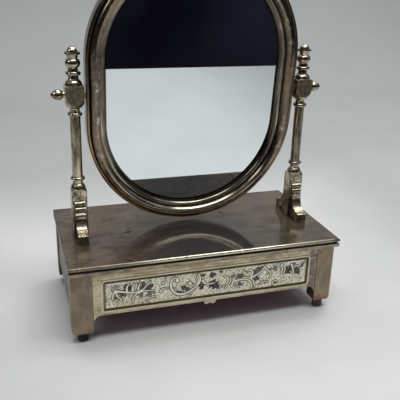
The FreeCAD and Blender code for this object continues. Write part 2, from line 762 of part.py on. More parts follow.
def pivot_block(label, sign):
    """Turned block squared off on four sides, bored across for the pivot screw."""
    piece = body(label, x=side("post_place", sign), z="pivot_height")
    sketch = sketch_on(piece, "XZ_Plane")
    outline(sketch, [
        ("0", "-(block_below)"),
        ("neck_radius", "-(block_below)"),
        ("neck_radius + neck_flare", "neck_flare * 2 - block_below"),
        ("block_width / 2", "-(block_chin)", "radius", "block_bowl", "left"),
        ("block_round", "0", "radius", "block_barrel", "left"),
        ("block_round", "block_shoulder - block_slope"),
        ("block_width / 2 - neck_flare", "block_shoulder"),
        ("neck_radius + neck_flare", "block_above - neck_flare * 2", "radius", "block_dome", "left"),
        ("neck_radius", "block_above"),
        ("0", "block_above"),
    ])
    revolution(piece, sketch, "V_Axis")
    square_off(piece, "block_width", "block_above")
    bore = sketch_on(piece, "YZ_Plane")
    circle(bore, "pin_radius + running_fit")
    pocket(piece, bore, "block_width * 2", both_ways=True)


def finial(label, sign):
    """Turned finial: ring, oval ball, thin disc and a domed button."""
    piece = body(label, x=side("post_place", sign), z="pivot_height + block_above")
    sketch = sketch_on(piece, "XZ_Plane")
    outline(
        sketch,
        [("0", "0"), ("neck_radius", "0")]
        + [("neck_radius", "finial_ring - ring_thickness / 2")]
        + ring("finial_ring")
        + [("neck_radius", "finial_ring + ring_thickness / 2")]
        + [("neck_radius", "ball_place - ball_half_height")]
        + [("ball_radius", "ball_place", "radius", "ball_curve", "left")]
        + [("neck_radius", "ball_place + ball_half_height", "radius", "ball_curve", "left")]
        + [("neck_radius + neck_flare", "disc_place - disc_thickness / 2")]
        + ring("disc_place", "disc_root", "disc_thickness")
        + [("button_radius", "disc_place + disc_thickness / 2"), ("button_radius", "button_base")]
        + [("0", "button_base + button_height", "centre_x", "0", "left")],
    )
    revolution(piece, sketch, "V_Axis")


def facing(sign):
    """Turn that carries a piece drawn for the right-hand end round to the left-hand one."""
    return None if sign > 0 else (FreeCAD.Vector(0, 0, 1), 180)


def pivot_screw(label, sign):
    """Acorn-headed screw on the pivot axis, head outwards."""
    piece = body(label, x=side("post_place", sign), z="pivot_height", turn=facing(sign))
    sketch = sketch_on(piece, "XZ_Plane")
    neck_end = "knob_start + knob_neck_length"
    outline(sketch, [
        ("-(pin_reach)", "0"),
        ("knob_tip", "0"),
        ("knob_tip - knob_tip_round / 2", "knob_tip_round", "centre_y", "0", "left"),
        ("knob_wide", "knob_radius", "radius", "knob_nose_round", "left"),
        (neck_end, "knob_neck_radius", "radius", "knob_radius", "left"),
        ("knob_start", "knob_neck_radius"),
        ("knob_start", "pin_radius"),
        ("-(pin_reach)", "pin_radius"),
    ])
    revolution(piece, sketch, "H_Axis")


def post_screws():
    """Screws from below, one into each bracket."""
    solids = []
    head_low = value("case_top - post_screw_head_height")
    head = value("post_screw_head")
    shank = value("post_screw_radius")
    top = value("base_height + post_screw_grip")
    for sign in (-1, 1):
        place = FreeCAD.Vector(sign * value("post_place"), 0, head_low)
        up = FreeCAD.Vector(0, 0, 1)
        disc = Part.makeCylinder(head, value("post_screw_head_height"), place, up)
        rod = Part.makeCylinder(shank, top - head_low, place, up)
        solids.append(disc.fuse(rod).removeSplitter())
    piece = doc.addObject("Part::Feature", "post_screws")
    piece.Label = "post_screws"
    piece.Shape = Part.makeCompound(solids)
    PIECES.append(piece)


# ---------------------------------------------------------------- mirror

TILT = FreeCAD.Vector(1, 0, 0)
SCREW_PLACES = [
    ("screw_place", "sight_straight"),
    ("screw_place", "-(sight_straight)"),
    ("-(screw_place)", "sight_straight"),
    ("-(screw_place)", "-(sight_straight)"),
    ("0", "sight_straight + screw_place"),
    ("0", "-(sight_straight + screw_place)"),
]


def mirror_body(label):
    """Body in the mirror's own frame: pivots on the X axis, front towards -Y, leaning as a whole."""
    return body(label, z="pivot_height", turn=(TILT, value("mirror_tilt")))


def frame_profile(sketch):
    """Section of the moulding, from the sight edge outwards; the front is towards -Y."""
    sight = "sight_half_width"
    crown = sight + " + crown_place"
    outer = "mirror_half"
    outer_bead = outer + " - outer_bead_radius"
    inner_bead = sight + " + inner_bead_place"
    corners = [
        (sight, "glass_rise"),
        (sight, "-(sight_lip_rise)"),
        (inner_bead + " - inner_bead_radius", "-(inner_bead_foot)"),
        (inner_bead + " + inner_bead_radius", "-(inner_quirk_rise)", "radius", "inner_bead_curve", "left"),
        (crown + " - crown_radius", "-(crown_foot)"),
        (crown, "-(frame_front)", "centre_x", crown, "left"),
        (crown + " + crown_radius", "-(crown_foot)", "centre_x", crown, "left"),
        (outer_bead + " - outer_bead_radius", "-(outer_quirk_rise)"),
        (outer_bead, "-(outer_bead_rise + outer_bead_radius)", "centre_x", outer_bead, "left"),
        (outer, "-(outer_bead_rise)", "centre_y", "-(outer_bead_rise)", "left"),
        (outer, "frame_back"),
        (sight + " + rebate_width", "frame_back"),
        (sight + " + rebate_width", "glass_rise"),
    ]
    outline(sketch, corners)


def mirror_frame():
    """Moulding swept round the stadium, with a bore in each wall for the pivot bushes."""
    piece = mirror_body("mirror_frame")
    path = sketch_on(piece, "XZ_Plane")
    path.setExpression(".AttachmentOffset.Base.y", bound("-(mirror_drop)"))
    stadium(path, "sight_half_width", "sight_straight")
    profile = sketch_on(piece, "XY_Plane")
    frame_profile(profile)
    pipe = piece.newObject("PartDesign::AdditivePipe", "mirror_frame_moulding")
    pipe.Profile = profile
    pipe.Spine = path
    pipe.Mode = "Standard"
    for sign in (1, -1):
        bore = sketch_on(piece, "YZ_Plane", side("bush_inner_end", sign))
        circle(bore, "bush_radius + running_fit")
        pocket(piece, bore, "bush_length + bush_collar_length", back=sign > 0)
    drill_for_screws(piece, "frame_back")


def drill_for_screws(piece, behind):
    """Holes for the back screws, drilled forwards from a plane behind the pivot axis."""
    sketch = sketch_on(piece, "XZ_Plane", minus(behind))
    sketch.setExpression(".AttachmentOffset.Base.y", bound("-(mirror_drop)"))
    for x, z in SCREW_PLACES:
        circle(sketch, "back_screw_radius + running_fit", x, z)
    pocket(piece, sketch, "back_screw_length", back=True)


def stadium_plate(label, half_width, front, thickness):
    """Flat plate of the mirror's outline; front is its distance behind the pivot axis."""
    piece = mirror_body(label)
    sketch = sketch_on(piece, "XZ_Plane", minus(front))
    sketch.setExpression(".AttachmentOffset.Base.y", bound("-(mirror_drop)"))
    stadium(sketch, half_width, "sight_straight")
    pad(piece, sketch, thickness, back=True)
    return piece


def pivot_bush(label, sign):
    """Bush in the frame's wall, with a collar that keeps the frame off the pivot block."""
    piece = body(label, z="pivot_height", turn=facing(sign))
    sketch = sketch_on(piece, "XZ_Plane")
    outer = "mirror_half + bush_collar_length"
    outline(sketch, [
        ("bush_inner_end", "bush_bore"),
        (outer, "bush_bore"),
        (outer, "bush_collar_radius"),
        ("mirror_half", "bush_collar_radius"),
        ("mirror_half", "bush_radius"),
        ("bush_inner_end", "bush_radius"),
    ])
    revolution(piece, sketch, "H_Axis")


def back_screws():
    """Small domed screws round the edge of the back plate."""
    seat = value("frame_back + back_plate_thickness")
    drop = value("mirror_drop")
    axis = FreeCAD.Vector(0, 1, 0)
    solids = []
    for x, z in SCREW_PLACES:
        start = FreeCAD.Vector(value(x), seat, value(z) - drop)
        shank_start = start - axis * value("back_screw_length")
        shank = Part.makeCylinder(value("back_screw_radius"), value("back_screw_length"), shank_start, axis)
        head = Part.makeCone(value("back_screw_head"), value("back_screw_head") / 2,
                             value("back_screw_rise"), start, axis)
        solids.append(shank.fuse(head).removeSplitter())
    piece = doc.addObject("Part::Feature", "back_screws")
    piece.Label = "back_screws"
    piece.Shape = Part.makeCompound(solids)
    piece.Placement = FreeCAD.Placement(
        FreeCAD.Vector(0, 0, value("pivot_height")),
        FreeCAD.Rotation(TILT, value("mirror_tilt")),
    )
    PIECES.append(piece)


# ---------------------------------------------------------------- assembly

SIDES = (("left", -1), ("right", 1))


def build():
    base_top()
    for end, sign_y in (("front", -1), ("rear", 1)):
        for name, sign_x in SIDES:
            leg("leg_%s_%s" % (end, name), sign_x, sign_y)
            foot("foot_%s_%s" % (end, name), sign_x, sign_y)
    case_panels()
    guides()
    drawer_front()
    drawer_plate()
    drawer_pull()
    drawer_box()
    drawer_lining()
    for name, sign in SIDES:
        bracket("bracket_" + name, sign)
        column("column_" + name, sign)
        pivot_block("pivot_block_" + name, sign)
        finial("finial_" + name, sign)
        pivot_screw("pivot_screw_" + name, sign)
        pivot_bush("pivot_bush_" + name, sign)
    post_screws()
    mirror_frame()
    stadium_plate("mirror_glass", "glass_half", "glass_rise", "glass_thickness")
    stadium_plate("glass_backing", "glass_half", "glass_rise + glass_thickness", "backing_thickness")
    cover = stadium_plate("back_plate", "plate_half", "frame_back", "back_plate_thickness")
    drill_for_screws(cover, "frame_back + back_plate_thickness")
    back_screws()


def check_and_export():
    """Stop on anything that failed, then write one file for each piece."""
    doc.recompute()
    for item in doc.Objects:
        if "Invalid" in item.State or "Error" in item.State:
            raise ValueError("%s failed: %s" % (item.Label, item.State))
    for piece in PIECES:
        if piece.Shape.isNull() or not piece.Shape.isValid():
            raise ValueError("bad shape: " + piece.Label)
    os.makedirs("parts", exist_ok=True)
    for piece in PIECES:
        piece.Shape.exportStep("parts/%s.step" % piece.Label)
        print("%-22s solids %d  volume %10.1f" % (piece.Label, len(piece.Shape.Solids), piece.Shape.Volume))


fill_sheet()
build()
check_and_export()
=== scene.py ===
"""Finishes, engraving and small fittings of a silver-plated vanity mirror with a drawer."""

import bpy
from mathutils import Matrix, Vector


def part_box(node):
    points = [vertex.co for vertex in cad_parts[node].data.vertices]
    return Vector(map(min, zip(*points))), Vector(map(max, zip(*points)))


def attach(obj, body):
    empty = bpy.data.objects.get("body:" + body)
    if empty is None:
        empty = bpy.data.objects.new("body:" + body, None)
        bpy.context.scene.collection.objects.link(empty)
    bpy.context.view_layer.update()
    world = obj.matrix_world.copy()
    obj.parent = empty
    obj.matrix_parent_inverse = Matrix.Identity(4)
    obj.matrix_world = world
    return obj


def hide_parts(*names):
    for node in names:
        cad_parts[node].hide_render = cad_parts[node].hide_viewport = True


bl_info = {
    "name": "Vanity Mirror with Drawer",
    "version": (1, 0, 0),
    "blender": (4, 5, 0),
    "location": "View3D > Sidebar > Vanity Mirror",
    "description": "Worn plate, engraved scrolls, velvet and fittings of a vanity mirror",
    "category": "Object",
}

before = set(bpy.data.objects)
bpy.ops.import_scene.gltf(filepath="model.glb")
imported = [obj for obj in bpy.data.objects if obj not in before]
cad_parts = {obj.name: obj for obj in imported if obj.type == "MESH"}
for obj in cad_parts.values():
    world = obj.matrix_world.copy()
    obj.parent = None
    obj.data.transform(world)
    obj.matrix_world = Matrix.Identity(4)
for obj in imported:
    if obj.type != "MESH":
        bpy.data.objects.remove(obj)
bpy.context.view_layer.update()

import math
from types import SimpleNamespace

import bpy
import numpy as np
from bpy.props import FloatProperty, FloatVectorProperty, PointerProperty
from mathutils import Matrix, Vector

MM = 0.001
RIGHT_ANGLE = math.pi / 2


# ---------------------------------------------------------------- settings


def colour(name, description, default):
    return FloatVectorProperty(
        name=name, description=description, default=default, subtype="COLOR", size=3, min=0, max=1
    )


def length(name, description, default):
    return FloatProperty(
        name=name, description=description, default=default, subtype="DISTANCE", unit="LENGTH", precision=5
    )


def angle(name, description, degrees):
    return FloatProperty(
        name=name, description=description, default=math.radians(degrees), subtype="ANGLE", unit="ROTATION"
    )


def power(name, description, default):
    return FloatProperty(name=name, description=description, default=default, unit="POWER")


class VanityFinish(bpy.types.PropertyGroup):
    """Colours and wear of the plate, the wood and the cloth."""

    silver: colour("Silver", "Plate that handling keeps bright", (0.70, 0.635, 0.485))
    tarnish: colour("Tarnish", "Brown film over most of the plate", (0.225, 0.185, 0.140))
    bronze: colour("Bronze", "Thin warm film beside the rubbed patches", (0.40, 0.33, 0.235))
    crust: colour("Crust", "Black tarnish left in grooves", (0.026, 0.021, 0.017))
    pale_silver: colour("Pale silver", "Drawer front, worn thin and yellowish", (0.62, 0.56, 0.40))
    straw: colour("Straw", "Yellow-brown stain on the drawer front", (0.42, 0.34, 0.17))
    gilt: colour("Gilt", "Golden streaks on the moulding's outer bead", (0.46, 0.30, 0.12))
    blush: colour("Blush", "Pinkish brown patches on the mirror's moulding", (0.37, 0.285, 0.245))
    plum: colour("Plum", "Purplish film at the drawer's right end", (0.205, 0.158, 0.150))
    olive: colour("Olive", "Grime in the groove round the engraved plate", (0.20, 0.155, 0.058))
    ground: colour("Ground", "Punched ground between the engraved leaves", (0.76, 0.71, 0.59))
    leaf: colour("Leaf", "Blackened cuts of the engraved leaves", (0.028, 0.034, 0.036))
    dent: colour("Dent", "Bare brown spots on the top", (0.060, 0.030, 0.022))
    red_foot: colour("Red foot", "Copper that shows at the front right leg's end", (0.27, 0.135, 0.085))
    glass: colour("Glass", "Silvered plate glass", (0.86, 0.915, 0.94))
    velvet: colour("Velvet", "Pile of the drawer lining", (0.17, 0.012, 0.035))
    felt: colour("Felt", "Felt under the base", (0.21, 0.03, 0.09))
    wood: colour("Wood", "Inner boards", (0.40, 0.24, 0.12))
    rubber: colour("Rubber", "Feet", (0.012, 0.012, 0.013))
    dusty: colour("Dusty rubber", "Front right foot, brown with dust", (0.080, 0.052, 0.040))
    steel: colour("Steel", "Screws that hold the posts", (0.55, 0.55, 0.54))
    dull_steel: colour("Dull steel", "Screws of the back plate", (0.50, 0.46, 0.38))
    brass: colour("Brass", "Bushes that the mirror turns on", (0.34, 0.24, 0.11))
    wear: FloatProperty(
        name="Wear", description="How far the edges are rubbed bright", default=0.6, subtype="FACTOR",
        min=0, max=1,
    )


class VanityOrnament(bpy.types.PropertyGroup):
    """Relief of the engraved plate."""

    step: length("Step", "Grid of the plate's modelled face", 0.3 * MM)
    drop: length("Drop", "Middle of the scroll below the middle of the plate", 1.15 * MM)
    relief: length("Relief", "Height of the stems and leaves above the ground", 0.2 * MM)
    cut: length("Cut", "Depth of the lines cut beside the stems", 0.12 * MM)
    stipple: length("Stipple", "Depth of the punched dots", 0.05 * MM)
    edge: length("Edge", "Rounding of the plate's rim", 0.5 * MM)


class VanitySoft(bpy.types.PropertyGroup):
    """Velvet tray, felt and the small screws."""

    pile: length("Pile", "Thickness of the velvet on the drawer's walls", 0.9 * MM)
    bend: length("Bend", "Radius where the velvet turns from wall to floor", 3.0 * MM)
    corner: length("Corner", "Radius of the velvet's upright corners", 2.5 * MM)
    felt_edge: length("Felt edge", "Rounding of the felt's cut edge", 0.4 * MM)
    slot_width: length("Slot width", "Slot of the back screws", 0.6 * MM)
    slot_depth: length("Slot depth", "Slot of the back screws", 0.45 * MM)


class VanityStage(bpy.types.PropertyGroup):
    """Camera, paper sweep and lights."""

    place: FloatVectorProperty(
        name="Camera", description="Where the camera stands", default=(-0.1629, -0.5186, 0.3085),
        subtype="TRANSLATION", unit="LENGTH", size=3,
    )
    azimuth: angle("Azimuth", "Camera's turn about the upright", -18.31)
    elevation: angle("Elevation", "Camera's dip below the horizon", 21.0)
    roll: angle("Roll", "Camera's lean", 1.7)
    lens: FloatProperty(
        name="Lens", description="Focal length on a 36 mm sensor", default=54.74, unit="CAMERA"
    )
    floor_front: length("Floor's front", "Front edge of the paper, from the middle of the base", -0.62)
    floor_back: length("Floor's back", "Where the paper starts to bend upwards", 0.85)
    bend: length("Bend", "Radius of the paper's bend", 0.30)
    half_width: length("Half width", "Half the width of the paper", 1.5)
    height: length("Height", "Upper edge of the paper", 1.5)
    # Pale until, grey from and the backdrop colour set the paper's painted shade away from under the lamps.
    pale_until: length("Pale until", "Where the pale floor starts to turn grey", 0.05)
    grey_from: length("Grey from", "Where the paper is fully grey", 0.45)
    paper: colour("Paper", "Pale paper under the object", (0.80, 0.81, 0.80))
    backdrop: colour("Backdrop", "Greyer paper behind it", (0.50, 0.51, 0.51))
    room: colour("Room", "Dark room beyond the paper", (0.0042, 0.0042, 0.0072))
    ceiling: colour("Ceiling", "Dim light from the ceiling", (0.16, 0.165, 0.17))
    overhead: power("Overhead", "Power of each long lamp overhead", 10.3)
    left: power("Left", "Power of the small lamp at the left", 1.6)
    wash: power("Wash", "Power of the lamp on the backdrop", 6.0)
    side: power("Side", "Power of the lamp at the right", 0.6)


# ---------------------------------------------------------------- node trees


def tinted(tint, factors):
    """A colour times one factor, or times one each for red, green and blue."""
    return np.minimum(1.0, np.multiply(tint, factors))


class Tree:
    """Node tree of a new material or world, with short calls for the nodes that the finishes use.

    The surface's colour is laid in coats, each over the ones before.
    """

    def __init__(self, name, kind="materials", shader="Principled BSDF", places="Object"):
        self.owner = getattr(bpy.data, kind).new(name)
        self.owner.use_nodes = True
        self.nodes = self.owner.node_tree.nodes
        self.links = self.owner.node_tree.links
        self.shader = self.nodes[shader]
        self.places = self.node("TexCoord").outputs[places]
        self.surface = None

    def give(self, socket, value):
        if isinstance(value, bpy.types.NodeSocket):
            self.links.new(value, socket)
        elif socket.type == "RGBA":
            socket.default_value = (*value, 1.0)
        else:
            socket.default_value = value

    def node(self, kind, values=(), **settings):
        made = self.nodes.new("ShaderNode" + kind)
        for key, setting in settings.items():
            setattr(made, key, setting)
        for key, value in dict(values).items():
            self.give(made.inputs[key], value)
        return made

    def mix(self, share, a, b):
        """Blend of two colours."""
        return self.node("Mix", {0: share, 6: a, 7: b}, data_type="RGBA").outputs[2]

    def lay(self, tint, *shares):
        """Lay a coat over the ones before, as dense as the product of its shares; the first has none."""
        self.surface = self.mix(self.times(*shares), self.surface, tint) if shares else tint

    def finish(self, rough, normal=None, metal=0.0, **others):
        """Set the shader's own sockets; others are named with capitals and spaces as Sheen_Weight."""
        values = {"Base Color": self.surface, "Roughness": rough, "Metallic": metal}
        if normal:
            values["Normal"] = normal
        for key, value in others.items():
            values[key.replace("_", " ")] = value
        for key, value in values.items():
            self.give(self.shader.inputs[key], value)
        return self.owner

    def noise(self, scale, detail=4.0, stretch=None, roughness=0.55, twist=0.0, places=None):
        places = places or self.places
        if stretch:
            places = self.node("Mapping", {0: places, 3: stretch}).outputs[0]
        values = {"Vector": places, "Scale": scale, "Detail": detail}
        return self.node("TexNoise", {**values, "Roughness": roughness, "Distortion": twist}).outputs[0]

    def dots(self, scale, size=0.3):
        """Spots of up to that share of their spacing, 1 in the middle."""
        found = self.node("TexVoronoi", {"Vector": self.places, "Scale": scale}).outputs["Distance"]
        return self.ramp(found, size, 0.0)

    def ramp(self, value, low, high, to_low=0.0, to_high=1.0, kind="SMOOTHSTEP"):
        values = {0: value, 1: low, 2: high, 3: to_low, 4: to_high}
        return self.node("MapRange", values, interpolation_type=kind).outputs[0]

    def within(self, value, low, high, soft):
        """1 between two limits, fading over a soft edge on either side."""
        rise = self.ramp(value, low - soft, low + soft)
        fall = self.ramp(value, high + soft, high - soft)
        return self.times(rise, fall)

    def maths(self, operation, first, *others):
        """One operation carried from the first value through the others."""
        for other in others:
            first = self.node("Math", {0: first, 1: other}, operation=operation).outputs[0]
        return first

    def times(self, *values):
        return self.maths("MULTIPLY", *values)

    def plus(self, *values):
        return self.maths("ADD", *values)

    def most(self, *values):
        return self.maths("MAXIMUM", *values)

    def blend(self, a, b, weight):
        """Weighted mean of two patterns."""
        return self.plus(self.times(a, 1 - weight), self.times(b, weight))

    def vector(self, operation, values, result="Vector"):
        inputs = dict(enumerate(values))
        return self.node("VectorMath", inputs, operation=operation).outputs[result]

    def axes(self, vector=None):
        """The three coordinates of a place or a direction."""
        return self.node("SeparateXYZ", {0: vector or self.places}).outputs

    def joined(self, x, y, z):
        return self.node("CombineXYZ", {0: x, 1: y, 2: z}).outputs[0]

    def attribute(self, name):
        return self.node("Attribute", attribute_name=name).outputs["Fac"]

    def crevice(self, reach, low, high, to_low=0.0, to_high=1.0):
        """1 in narrow grooves, 0 on open faces."""
        found = self.node("AmbientOcclusion", {"Distance": reach}, samples=6, only_local=True)
        return self.ramp(self.maths("SUBTRACT", 1.0, found.outputs["AO"]), low, high, to_low, to_high)

    def rounded(self, radius, samples):
        """Normal with the sharp edges rounded off."""
        return self.node("Bevel", {"Radius": radius}, samples=samples).outputs[0]

    def edge(self, radius):
        """1 on sharp edges, 0 on flat faces."""
        flat = self.node("NewGeometry").outputs["True Normal"]
        met = self.vector("DOT_PRODUCT", (self.rounded(radius, 5), flat), "Value")
        return self.ramp(met, 0.995, 0.86)

    def bump(self, height, distance, strength=1.0, under=None):
        values = {"Height": height, "Distance": distance, "Strength": strength}
        if under:
            values["Normal"] = under
        return self.node("Bump", values).outputs[0]


# ---------------------------------------------------------------- plated metal

# Members of the mirror's moulding on its front, in mm: inner and outer limit, measured inward from the
# moulding's outside, and how softly each one fades.
MOULDING = {
    "outer_bead": (3.2, -1.0, 0.2),
    "outer_seam": (3.8, 3.4, 0.12),
    "crown": (11.4, 4.3, 0.5),
    "crown_top": (10.2, 5.6, 0.8),
    "crown_inside": (11.7, 8.2, 0.5),
    "inner_seam": (12.2, 11.7, 0.15),
    "inner_bead": (15.2, 12.3, 0.3),
    "sight_seam": (18.0, 15.8, 0.2),
}
# Dents in the top's upper face, in mm from the middle of the base.
DENTS = ((-62.7, -5.5), (37.5, 20.0), (16.0, 65.2))
# Where the front right leg's upright starts, beside its spandrel, which is painted dark as shade.
LEG_UPRIGHT = 105.7 * MM
# How far the glass reaches under the moulding.
REBATE = 3.2 * MM


def speckled(tree, rough, streaks, grain, finish, normal=None):
    """Black pits and crust in the corners, laid over a plated surface; gives its roughness and its bump."""
    groove = tree.crevice(2.2 * MM, 0.22, 0.7)
    pits = tree.times(tree.dots(430.0, 0.26), tree.ramp(streaks, 0.46, 0.6))
    tree.lay(finish.crust, groove, 0.85)
    tree.lay(finish.crust, pits, 0.75)
    scratches = tree.noise(900.0, 3.0, (1.0, 0.06, 1.0))
    height = tree.maths("SUBTRACT", tree.blend(grain, scratches, 0.5), tree.times(pits, 0.8))
    rough = tree.plus(rough, tree.times(tree.most(groove, pits), 0.25))
    return rough, tree.bump(height, 0.03 * MM, 0.5, normal)


def plated(name, finish, bright, rough, patch, upright, rubbed=1.0, brown_front=0.0):
    """Worn plate: brown film in clouds and streaks, rubbed thin and bright on edges, with silver on faces
    that look up as painted highlight.

    Bright is the share that is rubbed bare, rough the least and greatest roughness, patch the number of
    clouds in a metre, and upright their squeeze along the height: under 1 they run up and down.
    """
    tree = Tree(name)
    stretch = (1.0, 1.0, upright)
    clouds = tree.noise(patch, 5.0, stretch, roughness=0.62, twist=0.4)
    streaks = tree.noise(patch * 5.3, 6.0, stretch, roughness=0.66, twist=0.2)
    grain = tree.noise(2600.0, 2.0, stretch)
    worn = tree.blend(clouds, streaks, 0.5)
    middle = 0.62 - 0.24 * bright
    thin = tree.ramp(worn, middle - 0.10, middle + 0.06)
    tree.lay(finish.tarnish)
    tree.lay(tinted(finish.tarnish, 0.35), tree.ramp(streaks, 0.60, 0.38))
    tree.lay(finish.bronze, thin, 0.8)
    tree.lay(finish.silver, tree.ramp(worn, middle + 0.02, middle + 0.13))
    tree.lay(finish.crust, tree.ramp(grain, 0.35, 0.75, 0.0, 0.2))
    edges = tree.times(tree.edge(0.45 * MM), tree.ramp(streaks, 0.30, 0.52, 0.15, 1.0))
    tree.lay(finish.silver, edges, min(1.0, finish.wear * rubbed))
    _, facing_y, facing_z = tree.axes(tree.node("NewGeometry").outputs["Normal"])
    # Silver laid on faces that look up: painted highlight of the lamps overhead.
    tree.lay(finish.silver, tree.ramp(facing_z, 0.15, 0.75), tree.ramp(streaks, 0.38, 0.54, 0.15, 0.8))
    rough = tree.ramp(worn, middle - 0.12, middle + 0.14, rough[1], rough[0])
    if brown_front:
        front = tree.times(tree.ramp(facing_y, -0.96, -0.995), brown_front)
        brown = tree.mix(tree.ramp(streaks, 0.4, 0.62), finish.tarnish, tinted(finish.bronze, 1.35))
        tree.lay(brown, front)
        rough = tree.plus(rough, tree.times(front, 0.14))
    rough, normal = speckled(tree, rough, streaks, grain, finish)
    return tree.finish(rough, normal, tree.ramp(thin, 0.0, 1.0, 0.85, 1.0))


def corners(node):
    """Vertices of a frame node, in the world."""
    return [node.matrix_world @ vertex.co for vertex in node.data.vertices]


def mirror_lie():
    """How the mirror stands.

    Gives the middle of its moulding, the upward and backward directions, half its width, and half the length
    of its straight sides.
    """
    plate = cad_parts["back_plate"]
    turn = plate.matrix_world.to_3x3()
    faces = [(face.area, turn @ face.normal) for face in plate.data.polygons]
    back = max((face for face in faces if face[1].y > 0.9), key=lambda face: face[0])[1].normalized()
    up = Vector((1.0, 0.0, 0.0)).cross(back).normalized()
    points = corners(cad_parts["mirror_frame"])
    heights = [up.dot(point) for point in points]
    depths = [back.dot(point) for point in points]
    middle = up * (max(heights) + min(heights)) / 2 + back * (max(depths) + min(depths)) / 2
    half = max(point.x for point in points)
    straight = (max(heights) - min(heights)) / 2 - half
    return SimpleNamespace(middle=middle, up=up, back=back, half=half, straight=straight)


def round_the_mirror(tree):
    """Distance from the mirror's spine, depth, height, and places that run slowly along the moulding."""
    lie = mirror_lie()
    moved = tree.vector("SUBTRACT", (tree.places, lie.middle))
    x = tree.axes(moved)[0]
    rise = tree.vector("DOT_PRODUCT", (moved, lie.up), "Value")
    depth = tree.vector("DOT_PRODUCT", (moved, lie.back), "Value")
    beyond = tree.most(tree.maths("SUBTRACT", tree.maths("ABSOLUTE", rise, 0.0), lie.straight), 0.0)
    across = tree.vector("LENGTH", (tree.joined(x, beyond, 0.0),), "Value")
    around = tree.vector("NORMALIZE", (tree.joined(0.0, x, rise),))
    _, round_x, round_z = tree.axes(around)
    slow = 0.06 * lie.half
    drift = tree.plus(across, tree.times(depth, 0.7))
    along = tree.joined(drift, tree.times(round_x, slow), tree.times(round_z, slow))
    return across, depth, rise, along


def moulding(finish):
    """Mirror frame: streaks along it, mottled crown, golden outer bead, bright inner bead and black seams."""
    tree = Tree("moulding")
    across, depth, rise, along = round_the_mirror(tree)
    outside = mirror_lie().half
    front = tree.ramp(depth, 1.0 * MM, -1.0 * MM)

    def member(name):
        inner, outer, soft = [limit * MM for limit in MOULDING[name]]
        return tree.times(front, tree.within(across, outside - inner, outside - outer, soft))

    clouds = tree.noise(24.0, 5.0, roughness=0.62, twist=0.5)
    mottle = tree.noise(190.0, 6.0, roughness=0.66, twist=0.4)
    broad = tree.noise(150.0, 4.0, places=along)
    fine = tree.noise(620.0, 5.0, places=along)
    grain = tree.noise(2600.0, 2.0)
    dark = tinted(finish.tarnish, 0.42)
    tree.lay(dark)
    tree.lay(finish.tarnish, tree.ramp(broad, 0.38, 0.62))
    tree.lay(finish.bronze, tree.ramp(fine, 0.50, 0.64, 0.0, 0.7))
    tree.lay(finish.tarnish, tree.ramp(clouds, 0.50, 0.66, 0.0, 0.6))
    crown, outer_bead = member("crown"), member("outer_bead")
    tree.lay(finish.blush, crown, tree.ramp(mottle, 0.44, 0.60, 0.0, 0.75))
    tree.lay(tinted(finish.gilt, 0.8), crown, tree.ramp(broad, 0.50, 0.64, 0.0, 0.45))
    tree.lay(dark, outer_bead, 0.6)
    gold = tree.ramp(fine, 0.42, 0.58, 0.15, 0.9)
    tree.lay(finish.gilt, outer_bead, gold, tree.ramp(rise, 10 * MM, -60 * MM, 0.1, 1.0))
    specks = tree.times(
        member("crown_top"), tree.ramp(mottle, 0.57, 0.64), tree.ramp(clouds, 0.40, 0.56, 0.1, 1.0)
    )
    rubbed = tree.times(
        member("crown_inside"), tree.ramp(rise, -55 * MM, -105 * MM), tree.ramp(fine, 0.34, 0.52, 0.25, 0.95)
    )
    low_down = tree.ramp(rise, 40 * MM, -60 * MM, 0.35, 1.0)
    bright = tree.times(member("inner_bead"), tree.ramp(fine, 0.42, 0.60, 0.1, 0.75), low_down)
    tree.lay(finish.silver, tree.most(bright, rubbed, specks))
    tree.lay(finish.crust, tree.most(member("inner_seam"), member("outer_seam"), member("sight_seam")), 0.6)
    rough, normal = speckled(tree, tree.ramp(mottle, 0.35, 0.65, 0.12, 0.24), mottle, grain, finish)
    return tree.finish(rough, normal, 0.92)


def dents(tree, height, ragged):
    """1 in the dents of the top's upper face, with ragged edges."""
    found = []
    for x, y in DENTS:
        spot = Vector((x * MM, y * MM, height))
        away = tree.plus(tree.vector("DISTANCE", (tree.places, spot), "Value"), ragged)
        found.append(tree.ramp(away, 3.6 * MM, 1.6 * MM))
    return tree.most(*found)


